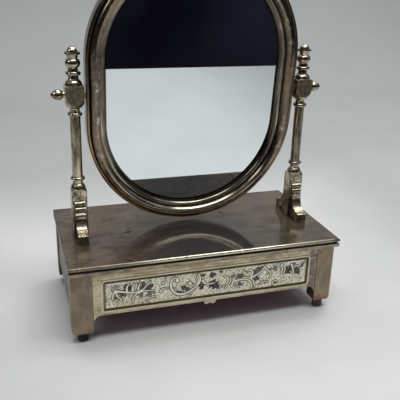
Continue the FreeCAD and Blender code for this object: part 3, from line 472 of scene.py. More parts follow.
def top_plate(finish):
    """Base's top: mottled brown upper face with dents, bright lip, dark groove and a warm ovolo."""
    tree = Tree("top_plate")
    low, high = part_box("base_top")
    x, y, z = tree.axes()
    clouds = tree.noise(26.0, 6.0, (1.0, 1.5, 1.0), roughness=0.66, twist=0.9)
    wipes = tree.noise(80.0, 6.0, (0.35, 1.8, 1.0), roughness=0.62, twist=0.3)
    fine = tree.noise(260.0, 5.0, (0.6, 1.4, 1.0), roughness=0.6)
    worn = tree.blend(clouds, wipes, 0.35)
    tree.lay(tinted(finish.tarnish, (1.06, 0.95, 0.93)))
    tree.lay(tinted(finish.tarnish, (0.50, 0.50, 0.56)), tree.ramp(clouds, 0.40, 0.60))
    tree.lay(tinted(finish.tarnish, (0.86, 0.93, 0.88)), tree.ramp(wipes, 0.50, 0.64, 0.0, 0.65))
    tree.lay(finish.bronze, tree.ramp(fine, 0.54, 0.70, 0.0, 0.35))
    # Hands have kept the front of the middle cool and glossy.
    handled = tree.times(tree.within(x, -38 * MM, 52 * MM, 22 * MM), tree.ramp(y, 25 * MM, -15 * MM))
    cool = [0.62 * finish.tarnish[1]] * 3
    tree.lay(cool, handled, tree.ramp(clouds, 0.3, 0.6, 0.9, 0.5))
    dented = dents(tree, high.z, tree.ramp(fine, 0.3, 0.7, -0.7 * MM, 0.7 * MM))
    tree.lay(finish.dent, dented, 0.9)
    # The bright lip, rubbed bare plate carrying a painted highlight, dies away to the left, dims to the right
    # and stops short of the right corner.
    shown = tree.times(
        tree.ramp(x, -85 * MM, -35 * MM, 0.12, 1.0),
        tree.ramp(x, 40 * MM, 100 * MM, 1.0, 0.5),
        tree.ramp(x, high.x - 8 * MM, high.x - 4 * MM, 1.0, 0.1),
    )
    kept = tree.times(tree.ramp(tree.noise(55.0, 4.0), 0.26, 0.42, 0.6, 1.0), shown)
    front_lip = tree.ramp(y, low.y + 1.9 * MM, low.y + 0.7 * MM)
    above_quirk = tree.ramp(z, high.z - 4.2 * MM, high.z - 3.6 * MM)
    bright = tree.times(front_lip, kept, above_quirk)
    edges = tree.times(tree.edge(0.8 * MM), tree.times(tree.ramp(wipes, 0.62, 0.42, 0.2, 0.7), shown))
    tree.lay(finish.silver, tree.most(bright, edges))
    # Under the lip come the quirk and then the ovolo.
    ovolo = tree.ramp(z, high.z - 4.6 * MM, high.z - 5.4 * MM)
    stain = tree.noise(120.0, 5.0, (0.6, 1.0, 1.0))
    warm = tree.mix(tree.ramp(stain, 0.42, 0.6), finish.bronze, finish.plum)
    warm = tree.mix(tree.ramp(fine, 0.52, 0.62, 0.0, 0.6), warm, finish.straw)
    tree.lay(warm, ovolo, 0.9)
    quirk = tree.within(z, high.z - 5.0 * MM, high.z - 3.4 * MM, 0.3 * MM)
    tree.lay(finish.crust, tree.most(tree.crevice(2.0 * MM, 0.35, 0.8), tree.times(quirk, 0.8)), 0.75)
    rough = tree.times(tree.ramp(worn, 0.36, 0.64, 0.08, 0.24), tree.ramp(handled, 0.0, 1.0, 1.0, 0.45))
    dull = tree.ramp(x, -45 * MM, -105 * MM, 0.0, 0.14)
    rough = tree.plus(rough, dull, tree.times(dented, 0.4), tree.times(tree.most(bright, ovolo), 0.12))
    grain = tree.noise(2300.0, 2.0)
    height = tree.maths("SUBTRACT", tree.times(grain, 0.25), tree.times(dented, 9.0))
    normal = tree.bump(height, 0.03 * MM, 0.4)
    normal = tree.bump(tree.noise(9.0, 2.0, (1.0, 2.0, 1.0)), 0.4 * MM, 0.35, normal)
    return tree.finish(rough, normal, tree.most(bright, ovolo, 0.62))


def drawer_metal(finish):
    """Drawer front: yellowish border, purplish film above and at the right, grimy groove and a bright rim."""
    tree = Tree("drawer_metal")
    low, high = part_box("drawer_front")
    plate_low, plate_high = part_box("drawer_plate")
    x, y, z = tree.axes()
    clouds = tree.noise(60.0, 6.0, (0.6, 1.0, 1.5), roughness=0.65, twist=0.5)
    fine = tree.noise(330.0, 5.0, (0.5, 1.0, 1.2), roughness=0.62)
    worn = tree.blend(clouds, fine, 0.45)
    tree.lay(finish.pale_silver)
    tree.lay(finish.straw, tree.ramp(worn, 0.40, 0.62))
    tree.lay(finish.bronze, tree.ramp(fine, 0.50, 0.64, 0.0, 0.55))
    # Purplish film in a band under the top edge and at the right end.
    band = tree.ramp(z, high.z - 5.2 * MM, high.z - 2.2 * MM, 0.0, 0.35)
    end = tree.ramp(x, high.x - 9.0 * MM, high.x - 6.0 * MM)
    tree.lay(finish.plum, tree.most(band, end), tree.ramp(worn, 0.34, 0.56, 0.25, 1.0))
    tree.lay(finish.crust, tree.times(tree.dots(300.0, 0.2), tree.ramp(fine, 0.5, 0.62)), 0.8)
    face = low.y + 0.5 * MM
    crest = tree.ramp(y, face - 0.15 * MM, face - 0.42 * MM)
    rim = tree.most(crest, tree.times(tree.edge(0.5 * MM), 0.6))
    tree.lay(finish.silver, rim, tree.ramp(fine, 0.36, 0.56, 0.3, 0.95))
    # The sunk groove round the engraved plate holds grime.
    groove, soft = 3 * MM, 0.4 * MM
    inside = tree.times(
        tree.within(x, plate_low.x - groove, plate_high.x + groove, soft),
        tree.within(z, plate_low.z - groove, plate_high.z + groove, soft),
    )
    sunk = tree.times(tree.ramp(y, face + 0.15 * MM, face + 0.7 * MM), inside)
    grime = tree.times(sunk, tree.ramp(fine, 0.3, 0.6, 1.0, 0.7))
    tree.lay(finish.olive, grime)
    tree.lay(finish.crust, tree.crevice(1.0 * MM, 0.5, 0.9, 0.0, 0.6))
    normal = tree.bump(tree.blend(tree.noise(2400.0, 2.0), fine, 0.5), 0.05 * MM, 0.6)
    return tree.finish(tree.ramp(worn, 0.35, 0.65, 0.30, 0.46), normal, tree.ramp(grime, 0.0, 1.0, 0.9, 0.4))


def leg_metal(name, finish, worn_foot_and_spandrel_shade=False, painted_shade_factor=1.0):
    """Legs and panels: dull brown film, lilac clouds, softened corners; one leg worn red at its end with its
    spandrel painted dark as shade; a factor under 1 darkens every coat as painted shade.
    """
    tree = Tree(name)
    x, _, z = tree.axes()
    clouds = tree.noise(38.0, 5.0, (1.0, 1.0, 0.6), roughness=0.62, twist=0.5)
    mottle = tree.noise(240.0, 5.0, (1.0, 1.0, 0.5), roughness=0.62)
    grain = tree.noise(2600.0, 2.0)
    tree.lay(tinted(finish.bronze, (0.86, 0.80, 0.74)) * painted_shade_factor)
    tree.lay(tinted(finish.tarnish, (1.0, 0.95, 0.98)) * painted_shade_factor, tree.ramp(clouds, 0.40, 0.62))
    tree.lay(tinted(finish.tarnish, painted_shade_factor), tree.ramp(mottle, 0.50, 0.68, 0.0, 0.6))
    rubbed = tree.times(tree.edge(2.4 * MM), tree.ramp(mottle, 0.36, 0.58, 0.05, 0.45))
    tree.lay(finish.silver, rubbed, painted_shade_factor)
    edges = tree.times(tree.edge(0.6 * MM), tree.ramp(mottle, 0.34, 0.54, 0.1, 1.0))
    tree.lay(finish.silver, edges, finish.wear * painted_shade_factor)
    if worn_foot_and_spandrel_shade:
        inner, outer = LEG_UPRIGHT - 0.3 * MM, LEG_UPRIGHT + 0.3 * MM
        # The spandrel inboard of the upright is painted near black: painted shade.
        tree.lay(finish.crust, tree.ramp(x, outer, inner), 0.85)
        foot = tree.times(tree.ramp(z, 19 * MM, 10.5 * MM), tree.ramp(x, inner, outer))
        tree.lay(finish.red_foot, foot, tree.ramp(mottle, 0.36, 0.56, 0.5, 1.0))
    rough = tree.ramp(mottle, 0.35, 0.65, 0.34, 0.46)
    rough, normal = speckled(tree, rough, mottle, grain, finish, tree.rounded(2.5 * MM, 6))
    return tree.finish(rough, normal, 0.72)


def engraved(finish):
    """Face of the plate: punched ground, bright stems, blackened leaves and outlines."""
    tree = Tree("engraved_plate")
    leaf, stem, line = [tree.attribute(name) for name in ("leaf", "stem", "line")]
    clouds = tree.noise(70.0, 4.0)
    grain = tree.noise(1900.0, 3.0)
    coarse = tree.noise(520.0, 4.0, roughness=0.7)
    tree.lay(finish.ground)
    tree.lay(finish.pale_silver, tree.ramp(clouds, 0.44, 0.66))
    tree.lay(finish.plum, tree.ramp(clouds, 0.58, 0.74, 0.0, 0.6))
    # Brighter specks on the punched ground: painted glints.
    tree.lay(tinted(finish.ground, 1.35), tree.ramp(coarse, 0.52, 0.60))
    tree.lay(finish.crust, tree.dots(1050.0, 0.62), tree.ramp(coarse, 0.56, 0.40, 0.25, 1.0))
    tree.lay(finish.crust, tree.ramp(coarse, 0.44, 0.34, 0.0, 0.75))
    tree.lay(finish.crust, line, 0.92)
    hatching = tree.noise(1300.0, 2.0, (1.0, 1.0, 0.18))
    tree.lay(finish.leaf, leaf, tree.ramp(hatching, 0.42, 0.70, 1.0, 0.82))
    tree.lay(tinted(finish.ground, 1.3), stem, 0.95)
    tree.lay(finish.crust, tree.crevice(0.8 * MM, 0.3, 0.8), 0.5)
    rough = tree.plus(tree.ramp(grain, 0.3, 0.7, 0.32, 0.46), tree.times(leaf, 0.15))
    metal = tree.ramp(tree.most(leaf, line), 0.0, 1.0, 0.95, 0.3)
    return tree.finish(rough, tree.bump(grain, 0.04 * MM, 0.6), metal)


# ---------------------------------------------------------------- glass, cloth, wood, rubber and screws


def mirror_glass(finish):
    """Silvered glass: faint haze, a few dust specks and a painted shadow line at the sight edge."""
    tree = Tree("mirror_glass")
    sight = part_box("mirror_glass")[1].x - REBATE
    # A dark line along the sight edge: painted shadow of the moulding's lip on the glass.
    rim = tree.ramp(round_the_mirror(tree)[0], sight - 1.7 * MM, sight - 1.0 * MM)
    haze = tree.noise(35.0, 5.0)
    dust = tree.times(tree.dots(170.0, 0.07), tree.ramp(haze, 0.5, 0.62))
    tree.lay(finish.glass)
    tree.lay(tinted(finish.glass, 0.55), dust, 0.5)
    tree.lay(finish.crust, rim, 0.96)
    rough = tree.plus(tree.ramp(haze, 0.45, 0.75, 0.004, 0.02), tree.times(dust, 0.3))
    return tree.finish(rough, metal=1.0)


def pile(name, tint, scale, sheen):
    """Velvet or felt: short brushed pile with a sheen and rubbed patches."""
    tree = Tree(name)
    fibres = tree.noise(scale, 4.0)
    brushed = tree.noise(45.0, 4.0, roughness=0.6, twist=0.8)
    tree.lay(tinted(tint, 0.45))
    tree.lay(tint, tree.ramp(fibres, 0.35, 0.65))
    tree.lay(tinted(tint, 1.9), tree.ramp(brushed, 0.48, 0.7, 0.0, 0.55))
    normal = tree.bump(fibres, 0.12 * MM, 0.8)
    return tree.finish(0.92, normal, Sheen_Weight=sheen, Sheen_Roughness=0.4, Specular_IOR_Level=0.2)


def boards(name, tint, along):
    """Plain wood with its grain along one axis."""
    tree = Tree(name)

    def stretch(share):
        return [share if axis == along else 1.0 for axis in range(3)]

    rings = tree.noise(260.0, 5.0, stretch(0.06), roughness=0.6, twist=1.2)
    pores = tree.noise(1800.0, 2.0, stretch(0.03))
    dark = tinted(tint, 0.5)
    tree.lay(tint)
    tree.lay(dark, tree.ramp(rings, 0.38, 0.64))
    tree.lay(tinted(tint, 0.3), tree.ramp(pores, 0.58, 0.72, 0.0, 0.6))
    tree.lay(dark, tree.ramp(tree.noise(18.0, 3.0), 0.5, 0.7, 0.0, 0.35))
    return tree.finish(tree.ramp(rings, 0.3, 0.7, 0.5, 0.68), tree.bump(pores, 0.05 * MM, 0.7))


def rubber(name, tint, dusty):
    """Matt rubber, dusty and chafed at its rim."""
    tree = Tree(name)
    clouds = tree.noise(420.0, 5.0)
    chafed = tree.times(tree.edge(0.6 * MM), tree.ramp(clouds, 0.4, 0.6))
    tree.lay(tint)
    tree.lay(tinted(tint, 0.9) + 0.10, tree.most(tree.ramp(clouds, 0.66 - dusty, 0.78 - dusty), chafed), 0.6)
    normal = tree.bump(tree.noise(2400.0, 3.0), 0.04 * MM, 0.8)
    return tree.finish(tree.ramp(clouds, 0.3, 0.7, 0.55, 0.85), normal)


def machined(name, tint, rough):
    """Turned steel or brass with fine tool marks and a little grime."""
    tree = Tree(name)
    marks = tree.noise(1500.0, 3.0, (0.2, 1.0, 1.0))
    tree.lay(tint)
    tree.lay(tinted(tint, 0.3), tree.ramp(tree.noise(300.0, 4.0), 0.5, 0.7), 0.7)
    tree.lay(tinted(tint, 0.1), tree.crevice(0.8 * MM, 0.3, 0.8, 0.0, 0.8))
    rough = tree.ramp(marks, 0.3, 0.7, rough, rough + 0.2)
    return tree.finish(rough, tree.bump(marks, 0.02 * MM, 0.6), 1.0)


# ---------------------------------------------------------------- pieces


def matching(*words):
    """Frame nodes whose names start with one of the words."""
    found = [name for name in sorted(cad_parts) if name.startswith(words)]
    if not found:
        raise RuntimeError("no node starts with " + ", ".join(words))
    return found


def dress(material, *names):
    """Give one finish to frame nodes."""
    for name in names:
        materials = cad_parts[name].data.materials
        materials.clear()
        materials.append(material)


def new_object(name, vertices, faces, material, smooth=True):
    """Mesh object with one finish, in the scene."""
    mesh = bpy.data.meshes.new(name)
    mesh.from_pydata([tuple(v) for v in vertices], [], [tuple(f) for f in faces])
    mesh.update()
    mesh.materials.append(material)
    if smooth:
        mesh.shade_smooth()
    made = bpy.data.objects.new(name, mesh)
    bpy.context.scene.collection.objects.link(made)
    return made


def new_piece(name, vertices, faces, material, body, smooth=True):
    """Mesh piece that rides on a body, with one finish."""
    piece = new_object(name, vertices, faces, material, smooth)
    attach(piece, body)
    return piece


# ---------------------------------------------------------------- engraved plate

# Stems of the scroll: points in mm from the middle of the plate, half width at either end, bulb at the start.
STEMS = (
    (((-86, 5.2), (-79, 3.2), (-70, 1.4), (-64, 2.4), (-59.5, 5.4), (-55.5, 10.4)), 0.95, 0.4, 0.0),
    (((-67, 1.7), (-60, 1.9), (-52.5, 0.8)), 0.7, 0.3, 0.0),
    (((-71, -8.4), (-70.3, -3.5), (-67, 0.2), (-62.5, 1.4)), 0.4, 0.6, 0.0),
    (((-86, 5), (-88.3, 1), (-88, -4)), 0.7, 0.3, 0.0),
    (((-85.6, 4.6), (-84.4, -0.4), (-80.5, -3.6)), 0.7, 0.3, 0.0),
    (((-84.5, -8), (-83, -5.6), (-81, -4.4)), 0.3, 0.7, 0.0),
    (((-76.2, 3.8), (-75.9, 7.4), (-74.0, 10.4)), 0.9, 0.35, 0.0),
    (((-70.9, 3.4), (-70.8, 7.2), (-69.2, 10.2)), 0.85, 0.3, 0.0),
    (((-66.0, 3.8), (-65.4, 7.4), (-63.8, 10.2)), 0.8, 0.3, 0.0),
    (((-44.3, 7.0), (-42, 8.8), (-42.6, 11.2)), 0.5, 0.25, 1.0),
    (((-46, -0.4), (-44.8, 1.2), (-41.5, 1.9), (-38.8, 1.3)), 0.6, 0.3, 1.25),
    (((-31, 7.7), (-31.3, 9.6), (-33.2, 10.6), (-35.6, 9), (-36.9, 5), (-36.3, 0.6), (-33.8, -3.6),
      (-30, -6.2)), 0.55, 0.9, 1.6),
    (((-30, -6.2), (-24, -6.2), (-17, -3.2), (-11.8, 1.2), (-9.8, 6.2), (-11.4, 11.6)), 0.95, 0.55, 0.0),
    (((-19.3, 3.5), (-18.4, 1.6), (-15.4, 1.1), (-12.6, 2.4), (-11.6, 5.6), (-12.8, 10)), 0.5, 0.45, 1.45),
    (((-7.6, 4.6), (-5.6, 1.6), (-1.2, 0.3), (3.5, 0.8)), 0.8, 0.4, 0.0),
    (((8.4, -5.4), (9.9, -4.2), (9.2, -3.0)), 0.3, 0.5, 0.0),
    (((12.4, -4.2), (16, -1.2), (16.6, 3.2), (13.6, 5.8)), 0.45, 0.7, 0.0),
    (((14.8, -5.4), (18.6, -1.2), (18.7, 4.4)), 0.55, 0.35, 0.0),
    (((20.4, -5.2), (22, 0.2), (25.4, 6.6)), 0.75, 0.35, 0.0),
    (((23.4, -0.2), (30, 0.7), (36, -0.8), (39.6, -4.6), (40.4, -9.4)), 0.9, 0.45, 0.0),
    (((31.5, 2.6), (37.6, 1.0), (41.8, -3.2), (43, -8.8)), 0.6, 0.4, 0.0),
    (((38, 8.8), (39.6, 8), (40.4, 5.6), (39, 2.6)), 0.45, 0.7, 1.05),
    (((39.4, 1.2), (44, 3.0), (49, 6.2), (52.6, 11)), 0.95, 0.45, 0.0),
    (((52.6, 9), (56.4, 5.8), (58.6, 2.2), (57.6, -1.4)), 0.6, 0.3, 0.0),
    (((65, 11.2), (69, 8.8), (70.4, 5), (69, 1.8)), 0.55, 0.35, 0.0),
    (((68.6, 11.4), (72, 8.2), (72.9, 4), (71.6, 0.6)), 0.55, 0.3, 0.0),
    (((79.4, 9.4), (80.8, 5.4), (82.3, -0.4)), 0.8, 0.4, 0.0),
    (((82.6, 8), (86.8, 6.8), (89, 9), (92.4, 10.8)), 0.6, 0.35, 0.0),
    (((60.8, -9.6), (61.2, -6.6), (63.6, -5.2), (66.2, -6.9)), 0.35, 0.5, 0.0),
    (((47, -6.8), (51, -4.6), (55.5, -5.0)), 0.3, 0.5, 0.0),
    (((-57, -9.5), (-55.4, -6.2), (-51.6, -5)), 0.3, 0.45, 0.0),
)

# Leaves: root and tip in mm from the middle of the plate, half width, lobes a side, bend, darkness.
LEAVES = (
    ((-73.2, 2.6), (-77.4, 10.8), 3.0, 2, 0.8, 1.0),
    ((-72.6, 2.6), (-72.8, 9.4), 1.9, 2, -0.4, 0.9),
    ((-67.6, 2.6), (-67.2, 11.2), 1.2, 0, -2.2, 1.0),
    ((-63.6, 3.6), (-61.0, 11.4), 1.6, 1, -0.6, 1.0),
    ((-61.0, 2.6), (-52.6, 7.4), 2.6, 2, -0.5, 1.0),
    ((-84.4, 3.2), (-86.6, -3.6), 1.8, 1, 0.6, 0.9),
    ((-83.0, 1.8), (-76.6, -0.8), 2.0, 2, 0.4, 1.0),
    ((-62.6, 0.6), (-64.8, -4.4), 1.3, 0, 0.3, 0.9),
    ((-59.6, -3.6), (-50.4, -1.6), 2.0, 2, 1.6, 0.75),
    ((-89.4, 5.4), (-82.4, 10.2), 2.6, 3, 0.6, 0.45),
    ((-80.4, 5.2), (-79.6, 11.0), 1.5, 0, 1.2, 0.15),
    ((-33.6, -3.4), (-24.6, -4.9), 2.3, 3, -1.0, 1.0),
    ((-28.2, 1.4), (-16.8, -3.8), 1.8, 3, -0.4, 1.0),
    ((-35.2, 1.6), (-31.0, -1.2), 1.0, 1, 0.3, 0.5),
    ((-9.0, 4.6), (-8.4, -5.0), 2.8, 2, 0.2, 1.0),
    ((-10.2, 9.6), (-4.8, 9.4), 1.6, 1, 0.3, 1.0),
    ((-1.6, 8.0), (5.0, 9.6), 2.4, 2, 0.3, 1.0),
    ((7.4, 11.0), (11.6, 10.0), 1.2, 1, 0.5, 0.95),
    ((-1.6, 2.0), (8.6, -5.0), 4.1, 3, 0.3, 1.0),
    ((18.6, 3.4), (23.8, 5.8), 1.5, 1, 0.2, 0.75),
    ((23.4, 0.8), (31.2, 5.8), 3.0, 3, 0.2, 0.9),
    ((27.0, -1.6), (31.6, -5.8), 1.4, 0, -0.9, 0.95),
    ((21.4, -3.4), (29.0, -8.0), 1.4, 2, 0.4, 0.5),
    ((41.6, 2.8), (51.2, 11.0), 3.1, 3, 0.8, 0.9),
    ((41.4, 1.2), (48.0, -1.4), 2.4, 2, -0.3, 1.0),
    ((55.0, 6.8), (60.4, 7.2), 1.2, 1, 0.2, 0.8),
    ((54.0, 2.0), (57.4, 4.6), 1.0, 1, 0.2, 0.6),
    ((61.2, 11.0), (63.4, 4.2), 1.6, 2, 0.3, 0.85),
    ((66.4, 10.4), (67.8, 3.2), 1.0, 0, 1.8, 0.7),
    ((73.4, 0.6), (79.4, 8.4), 3.5, 3, 0.3, 1.0),
    ((82.2, 5.2), (88.0, -1.4), 3.0, 3, 0.3, 1.0),
    ((79.8, 9.9), (83.6, 9.2), 1.2, 1, 0.3, 1.0),
    ((86.8, 5.8), (92.6, 9.8), 1.7, 2, -0.2, 1.0),
    ((52.4, -7.0), (55.2, -5.4), 1.1, 1, 0.0, 0.85),
    ((62.2, -6.4), (66.2, -7.8), 1.2, 1, -0.5, 0.95),
    ((88.8, -6.4), (91.4, -6.0), 0.8, 0, 0.0, 0.7),
    ((-20.4, -8.6), (-17.2, -7.4), 0.8, 0, 0.2, 0.6),
    ((32.8, 9.0), (36.0, 6.4), 1.0, 1, 0.2, 0.5),
)
# A distance in mm that stands for nowhere near.
FAR = 9.0


def smooth_line(points, steps=8):
    """Points of a smooth curve through the given ones."""
    p = np.array(points, float)
    p = np.vstack([2 * p[0] - p[1], p, 2 * p[-1] - p[-2]])
    t = np.linspace(0, 1, steps, endpoint=False)[:, None]
    line = []
    for a, b, c, d in zip(p, p[1:], p[2:], p[3:]):
        curve = 2 * b + (c - a) * t + (2 * a - 5 * b + 4 * c - d) * t**2 + (3 * b - a - 3 * c + d) * t**3
        line.append(0.5 * curve)
    return np.vstack(line + [p[-2:-1]])


def fade(x, low, high):
    t = np.clip((x - low) / (high - low), 0, 1)
    return t * t * (3 - 2 * t)


def stem_field(x, z, stem):
    """Signed distance in mm into a stem, positive inside, at each point of the grid."""
    points, wide, narrow, bulb = stem
    line = smooth_line(points)
    halves = np.linspace(wide, narrow, len(line))
    inside = np.full(x.shape, -FAR)
    for a, b, half in zip(line, line[1:], halves):
        along = b - a
        t = np.clip(((x - a[0]) * along[0] + (z - a[1]) * along[1]) / (along @ along), 0, 1)
        away = np.hypot(x - a[0] - t * along[0], z - a[1] - t * along[1])
        inside = np.maximum(inside, half - away)
    if bulb:
        inside = np.maximum(inside, bulb - np.hypot(x - line[0][0], z - line[0][1]))
    return inside


def leaf_field(x, z, leaf):
    """Distance into a lobed leaf, and across its midrib, at each point of the grid."""
    root, tip, half, lobes, bend, _ = leaf
    axis = np.subtract(tip, root)
    long = np.hypot(*axis)
    axis = axis / long
    along = ((x - root[0]) * axis[0] + (z - root[1]) * axis[1]) / long
    across = (z - root[1]) * axis[0] - (x - root[0]) * axis[1]
    s = np.clip(along, 0, 1)
    across = across - bend * 4 * s * (1 - s)
    lobed = 1 + 0.34 * np.cos(2 * math.pi * (lobes * s + 0.35 - 0.22 * np.abs(across) / half)) if lobes else 1
    edge = half * np.sin(math.pi * s**0.75) ** 0.7 * lobed
    inside = np.where((along > 0) & (along < 1), edge - np.abs(across), -FAR)
    return inside, np.abs(across)


def plate_relief(x, z, ornament):
    """Height in metres above the ground and the leaf, stem and line shares, for grids in mm."""
    stem = np.full(x.shape, -FAR)
    for one in STEMS:
        stem = np.maximum(stem, stem_field(x, z, one))
    dark, body, rib = np.zeros(x.shape), np.full(x.shape, -FAR), np.full(x.shape, FAR)
    for one in LEAVES:
        inside, across = leaf_field(x, z, one)
        dark = np.maximum(dark, fade(inside, -0.25, 0.05) * one[5])
        rib = np.where(inside > body, across, rib)
        body = np.maximum(body, inside)
    stems = fade(stem, -0.15, 0.25)
    line = fade(stem, -1.0, -0.6) * (1 - fade(stem, -0.25, 0.05))
    line = np.maximum(line, fade(body, -0.55, -0.2) * (1 - fade(body, -0.1, 0.2)) * 0.8)
    veins = 1 - fade(rib, 0.08, 0.32)
    dots = np.random.default_rng(11).random(x.shape)
    height = ornament.stipple * (dots - 0.5) * (1 - stems)
    height += ornament.relief * 0.7 * fade(body, 0.0, 1.0) * (1 - stems)
    height -= ornament.cut * (line + veins * fade(body, 0.2, 0.7)) * (1 - stems)
    height += ornament.relief * np.sqrt(np.clip(stem + 0.1, 0, 1.0)) * stems
    dark = dark * (1 - stems) * (1 - 0.35 * veins)
    return height, dark, stems, line * (1 - stems) * (1 - dark)


def grid_faces(cells):
    """Quads of a grid of vertex numbers."""
    quads = np.stack([cells[:-1, :-1], cells[:-1, 1:], cells[1:, 1:], cells[1:, :-1]], -1)
    return quads.reshape(-1, 4).tolist()


def skirt_faces(ring, start):
    """Quads from a border down to its copy, numbered on from start, and the face that closes the copy."""
    count = len(ring)
    faces = [(ring[(i + 1) % count], ring[i], start + i, start + (i + 1) % count) for i in range(count)]
    return faces + [range(start + count - 1, start - 1, -1)]


def engraved_plate(finish, ornament):
    """Closed plate in the drawer front's recess, its face modelled from the scroll."""
    low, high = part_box("drawer_plate")
    middle = (low + high) / 2
    columns = round((high.x - low.x) / ornament.step)
    rows = round((high.z - low.z) / ornament.step)
    x, z = np.meshgrid(np.linspace(low.x, high.x, columns + 1), np.linspace(low.z, high.z, rows + 1))
    across, upward = (x - middle.x) / MM, (z - middle.z + ornament.drop) / MM
    height, dark, stems, line = plate_relief(across, upward, ornament)
    rim = np.minimum(np.minimum(x - low.x, high.x - x), np.minimum(z - low.z, high.z - z))
    rounding = ornament.edge * (1 - np.sqrt(1 - (1 - np.clip(rim / ornament.edge, 0, 1)) ** 2))
    y = low.y - height * fade(rim, 0.0, 2 * ornament.edge) + rounding
    front = np.stack([x, y, z], -1).reshape(-1, 3)
    cells = np.arange(x.size).reshape(x.shape)
    ring = [*cells[0], *cells[1:, -1], *cells[-1, -2::-1], *cells[-2:0:-1, 0]]
    back = front[ring].copy()
    back[:, 1] = high.y
    piece = new_piece(
        "engraved_plate", np.vstack([front, back]), grid_faces(cells) + skirt_faces(ring, len(front)),
        engraved(finish), "drawer",
    )
    for name, values in (("leaf", dark), ("stem", stems), ("line", line)):
        spread = np.concatenate([values.ravel(), np.zeros(len(ring))]).astype(np.float32)
        piece.data.attributes.new(name, "FLOAT", "POINT").data.foreach_set("value", spread)
    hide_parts("drawer_plate")


# ---------------------------------------------------------------- velvet, felt and screws


def rounded_ring(low, high, inset, corner, z, steps=5):
    """Points round a rectangle with rounded corners, at one height, going anticlockwise."""
    points = []
    left, right = low.x + inset + corner, high.x - inset - corner
    front, rear = low.y + inset + corner, high.y - inset - corner
    for quarter, (x, y) in enumerate(((right, rear), (left, rear), (left, front), (right, front))):
        for step in range(steps + 1):
            turn = (quarter + step / steps) * RIGHT_ANGLE
            points.append((x + corner * math.cos(turn), y + corner * math.sin(turn), z))
    return points


def ring_faces(rings):
    """Quads between closed rings of equal length."""
    count = len(rings[0])
    return [
        (r * count + i, r * count + (i + 1) % count, (r + 1) * count + (i + 1) % count, (r + 1) * count + i)
        for r in range(len(rings) - 1)
        for i in range(count)
    ]


def velvet_tray(finish, soft):
    """Velvet glued to the drawer's floor and walls, turned over at the top and bent softly at the floor."""
    low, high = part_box("drawer_lining")
    floor = low.z + soft.pile
    wall = high.z - soft.bend - floor
    gap, slack, floor_step = 0.05 * MM, 0.15 * MM, 4 * MM
    profile = [(gap, high.z - soft.pile)]
    for step in range(1, 6):
        turn = step / 5 * RIGHT_ANGLE
        profile.append((soft.pile * (1 - math.cos(turn)), high.z - soft.pile * (1 - math.sin(turn))))
    for step in range(1, 9):
        profile.append((soft.pile + slack * math.sin(step / 8 * math.pi), high.z - wall * step / 8))
    for step in range(1, 7):
        turn = step / 6 * RIGHT_ANGLE
        inset = soft.pile + soft.bend * (1 - math.cos(turn))
        profile.append((inset, floor + soft.bend * (1 - math.sin(turn))))
    rings = [rounded_ring(low, high, inset, soft.corner, z) for inset, z in profile]
    for step in range(1, 13):
        inset = soft.pile + soft.bend + step * floor_step
        rings.append(rounded_ring(low, high, inset, soft.corner * (1 - step / 14), floor))
    vertices = sum(rings, [])
    faces = ring_faces(rings) + [range(len(vertices) - len(rings[0]), len(vertices))]
    velvet = pile("velvet", finish.velvet, 2200.0, 0.8)
    tray = new_piece("velvet_tray", vertices, faces, velvet, "drawer")
    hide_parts("drawer_lining")


def felt_sheet(finish, soft):
    """Felt under the bottom board, cut round the legs, with a soft edge."""
    low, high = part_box("base_felt")
    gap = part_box("bottom_board")[1].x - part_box("side_panel_right")[0].x
    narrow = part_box("leg_front_right")[0].x + gap
    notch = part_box("leg_rear_right")[0].y + gap
    right = [(narrow, low.y), (narrow, -notch), (high.x, -notch)]
    right += [(high.x, notch), (narrow, notch), (narrow, high.y)]
    outline = right + [(-x, y) for x, y in reversed(right)]
    edge = soft.felt_edge
    inward = []
    for before, here, after in zip(outline[-1:] + outline[:-1], outline, outline[1:] + outline[:1]):
        one = Vector((here[0] - before[0], here[1] - before[1])).normalized()
        two = Vector((after[0] - here[0], after[1] - here[1])).normalized()
        inward.append(Vector((-one.y, one.x)) + Vector((-two.y, two.x)))
    rings = []
    for inset, z in ((0.0, high.z), (0.0, low.z + edge), (edge * 0.3, low.z + edge * 0.3), (edge, low.z)):
        rings.append([(x + step.x * inset, y + step.y * inset, z) for (x, y), step in zip(outline, inward)])
    count = len(outline)
    faces = [face[::-1] for face in ring_faces(rings)]
    faces += [range(count), range(4 * count - 1, 3 * count - 1, -1)]
    felt = pile("felt", finish.felt, 1500.0, 0.3)
    sheet = new_piece("felt_sheet", sum(rings, []), faces, felt, "base", smooth=False)
    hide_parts("base_felt")


def slotted_head(middle, axis, turn, radius, rise, soft, vertices, faces):
    """Domed head with a slot, added to the lists: a closed form standing on the plane through middle."""
    across = axis.orthogonal().normalized()
    across.rotate(Matrix.Rotation(turn, 3, axis))
    beside = axis.cross(across)
    half = soft.slot_width / 2 / radius
    lines = [-1.0, -0.8, -0.6, -0.4, -half, -half * 0.9, half * 0.9, half, 0.4, 0.6, 0.8, 1.0]
    rows = np.linspace(-1.0, 1.0, 12)
    fall, least = 0.86, 0.2 * rise
    slot_floor = half * 0.95
    start = len(vertices)
    for u in lines:
        for v in rows:
            x, y = u * math.sqrt(1 - v * v / 2), v * math.sqrt(1 - u * u / 2)
            height = rise * math.sqrt(max(0.0, 1 - fall * (x * x + y * y)))
            if abs(u) < slot_floor:
                height = max(height - soft.slot_depth, least)
            vertices.append(middle + across * x * radius + beside * y * radius + axis * height)
    grid = np.arange(start, len(vertices)).reshape(len(lines), len(rows))
    border = [*grid[:, 0], *grid[-1, 1:], *grid[-2::-1, -1], *grid[0, -2:0:-1]]
    faces += grid_faces(grid.T) + skirt_faces(border, len(vertices))
    vertices += [vertices[number] - axis * (vertices[number] - middle).dot(axis) for number in border]


